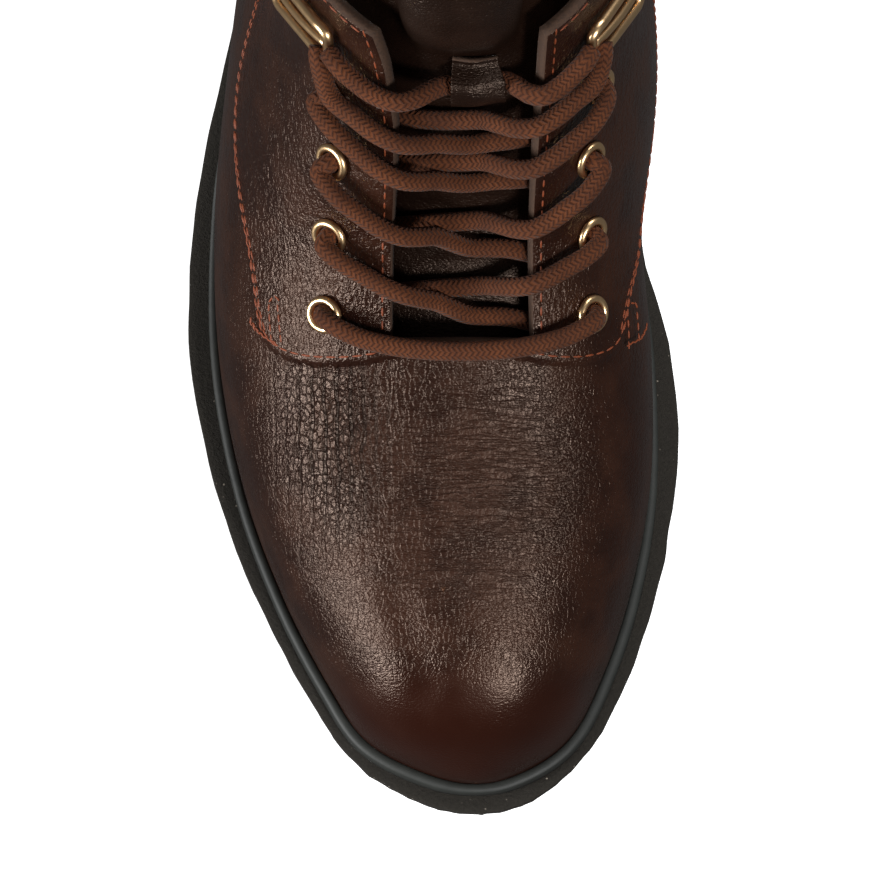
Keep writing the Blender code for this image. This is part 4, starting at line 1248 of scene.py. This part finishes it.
def stitch(name, lines, pitch, length, thickness):
    """Rows of stitches along lines of points."""
    points, edges = [], []
    for line in lines:
        edges += [(len(points) + i, len(points) + i + 1) for i in range(len(line) - 1)]
        points += [tuple(map(float, p)) for p in line]
    mesh = bpy.data.meshes.new(name)
    mesh.from_pydata(points, edges, [])
    row = bpy.data.objects.new(name, mesh)
    bpy.context.scene.collection.objects.link(row)
    rows = row.modifiers.new("stitches", "NODES")
    rows.node_group = STITCHES
    values = {"Pitch": pitch, "Length": length, "Thickness": thickness, "Thread": thread}
    for item in STITCHES.interface.items_tree:
        if item.in_out == "INPUT" and item.name in values:
            rows[item.identifier] = values[item.name]
    settle(row)
    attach(row, "root")


THREAD_SINK = -0.00004


def lifted(s, turn):
    """A place for a thread on the outer face of the front panel."""
    return offset_point(s, turn, PANEL_STEP + THREAD_SINK + folds(last_point(s, turn)))


FRONT_ROWS = (60, TOE_ROWS + 40)


def level_line(side, distance, q_from, q_to):
    """Points on the front lower part of the panel at this distance from its edge, by column."""
    half = reach * side
    columns = [j for j in range(len(reach)) if q_from <= half[j] <= q_to]
    columns.sort(key=lambda j: half[j])
    line = []
    for j in columns:
        values = edge_distance[:, j]
        rows = [i for i in range(*FRONT_ROWS) if values[i] <= distance < values[i + 1]]
        if rows:
            i = rows[0]
            t = (distance - values[i]) / (values[i + 1] - values[i])
            s = s_grid[i, j] * (1 - t) + s_grid[i + 1, j] * t
            line.append(lifted(s, float(turn_across(s, reach[j]))))
    return line


FACING_Q = 1.1


def seam_line(side, distance, first, last):
    """Points up the rear part of the panel at this distance from its edge, by row."""
    line = []
    order = range(middle, len(reach) - 1) if side > 0 else range(middle, 0, -1)
    for i in range(first, last):
        for j in order:
            a, b = edge_distance[i, j], edge_distance[i, j + side]
            if a > distance >= b and abs(reach[j]) > FACING_Q:
                t = (a - distance) / (a - b)
                s = s_grid[i, j] * (1 - t) + s_grid[i, j + side] * t
                turn = turn_grid[i, j] * (1 - t) + turn_grid[i, j + side] * t
                line.append(lifted(s, turn))
                break
    return line


PITCH, STITCH, THREAD_T = 0.0029, 0.0023, 0.00046
# The collar's row runs this many lays under the edge, from the facing's corner.
COLLAR_SEAM, CORNER_Q = 0.13, 1.03
front_rows = [level_line(side, 0.0018, 0.9, 1.62) for side in (-1, 1)]
front_rows = [line for line in front_rows if len(line) > 3]
stitch("stitches_front_edge", front_rows, PITCH, STITCH, THREAD_T)
seams = [
    seam_line(side, away, TOE_ROWS + 2, len(lays) - 2) for side in (-1, 1) for away in (0.0014, 0.0025)
]
seams = [line for line in seams if len(line) > 3]
stitch("stitches_rear_seam", seams, PITCH * 0.85, STITCH * 0.85, THREAD_T)
throat_rows = []
for side, column in ((-1, 1), (1, 2)):
    line = []
    top = float(collar_lay(np.array([side * CORNER_Q]))[0]) - COLLAR_SEAM
    for s in np.linspace(THROAT_BASE + 0.02, top, 160):
        x = ridge_x(s) + float(np.interp(s, throat_table[0], throat_table[column])) + side * 0.0016
        line.append(lifted(s, float(turn_at_x(s, x))))
    throat_rows.append(line)
stitch("stitches_throat", throat_rows, PITCH, STITCH * 0.9, THREAD_T)
collar_rows = []
for side in (-1, 1):
    q = side * np.linspace(CORNER_Q, 2.0, 200)
    s = collar_lay(q) - COLLAR_SEAM
    collar_rows.append([lifted(a, float(turn_across(a, b))) for a, b in zip(s, q)])
stitch("stitches_collar", collar_rows, PITCH, STITCH, THREAD_T)

# Tacks where the facing's lower corner takes the pull of the lace: a boxed double row and a
# close zigzag, as (lay, turn) places.
BOX_STITCHES = [
    [(6.07, -0.825), (6.41, -0.834), (6.44, -0.786), (6.06, -0.771)],
    [(6.01, 0.913), (6.37, 0.923), (6.39, 1.016), (6.09, 1.016)],
]
TACKS = [
    [(6.24, -0.957), (6.15, -0.913), (6.07, -0.854), (6.01, -0.79)],
    [(6.01, 0.903), (6.09, 1.05), (6.20, 1.14)],
]
TACK_HALF, TACK_POINTS, BOX_POINTS = 0.008, 26, 60


def along_places(places, count):
    """Even (lay, turn) places along a chain of them."""
    places = np.array(places)
    run = np.append(0, np.cumsum(np.hypot(*np.diff(places, axis=0).T)))
    at = np.linspace(0, run[-1], count)
    return np.stack([np.interp(at, run, places[:, k]) for k in range(2)], -1)


boxes = [[lifted(*place) for place in along_places(box, BOX_POINTS)] for box in BOX_STITCHES]
stitch("stitches_boxes", boxes, PITCH * 0.7, STITCH * 0.75, THREAD_T)
tacks = []
for tack in TACKS:
    line = along_places(tack, TACK_POINTS)
    swing = np.where(np.arange(TACK_POINTS) % 2 == 0, 1, -1) * TACK_HALF
    tacks.append([lifted(s, turn + side) for (s, turn), side in zip(line, swing)])
stitch("stitches_tacks", tacks, PITCH * 0.4, STITCH * 0.6, THREAD_T * 0.9)

boxes = {"cad": [list(c) for c in cad_box], "visual": [list(c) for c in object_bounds()]}
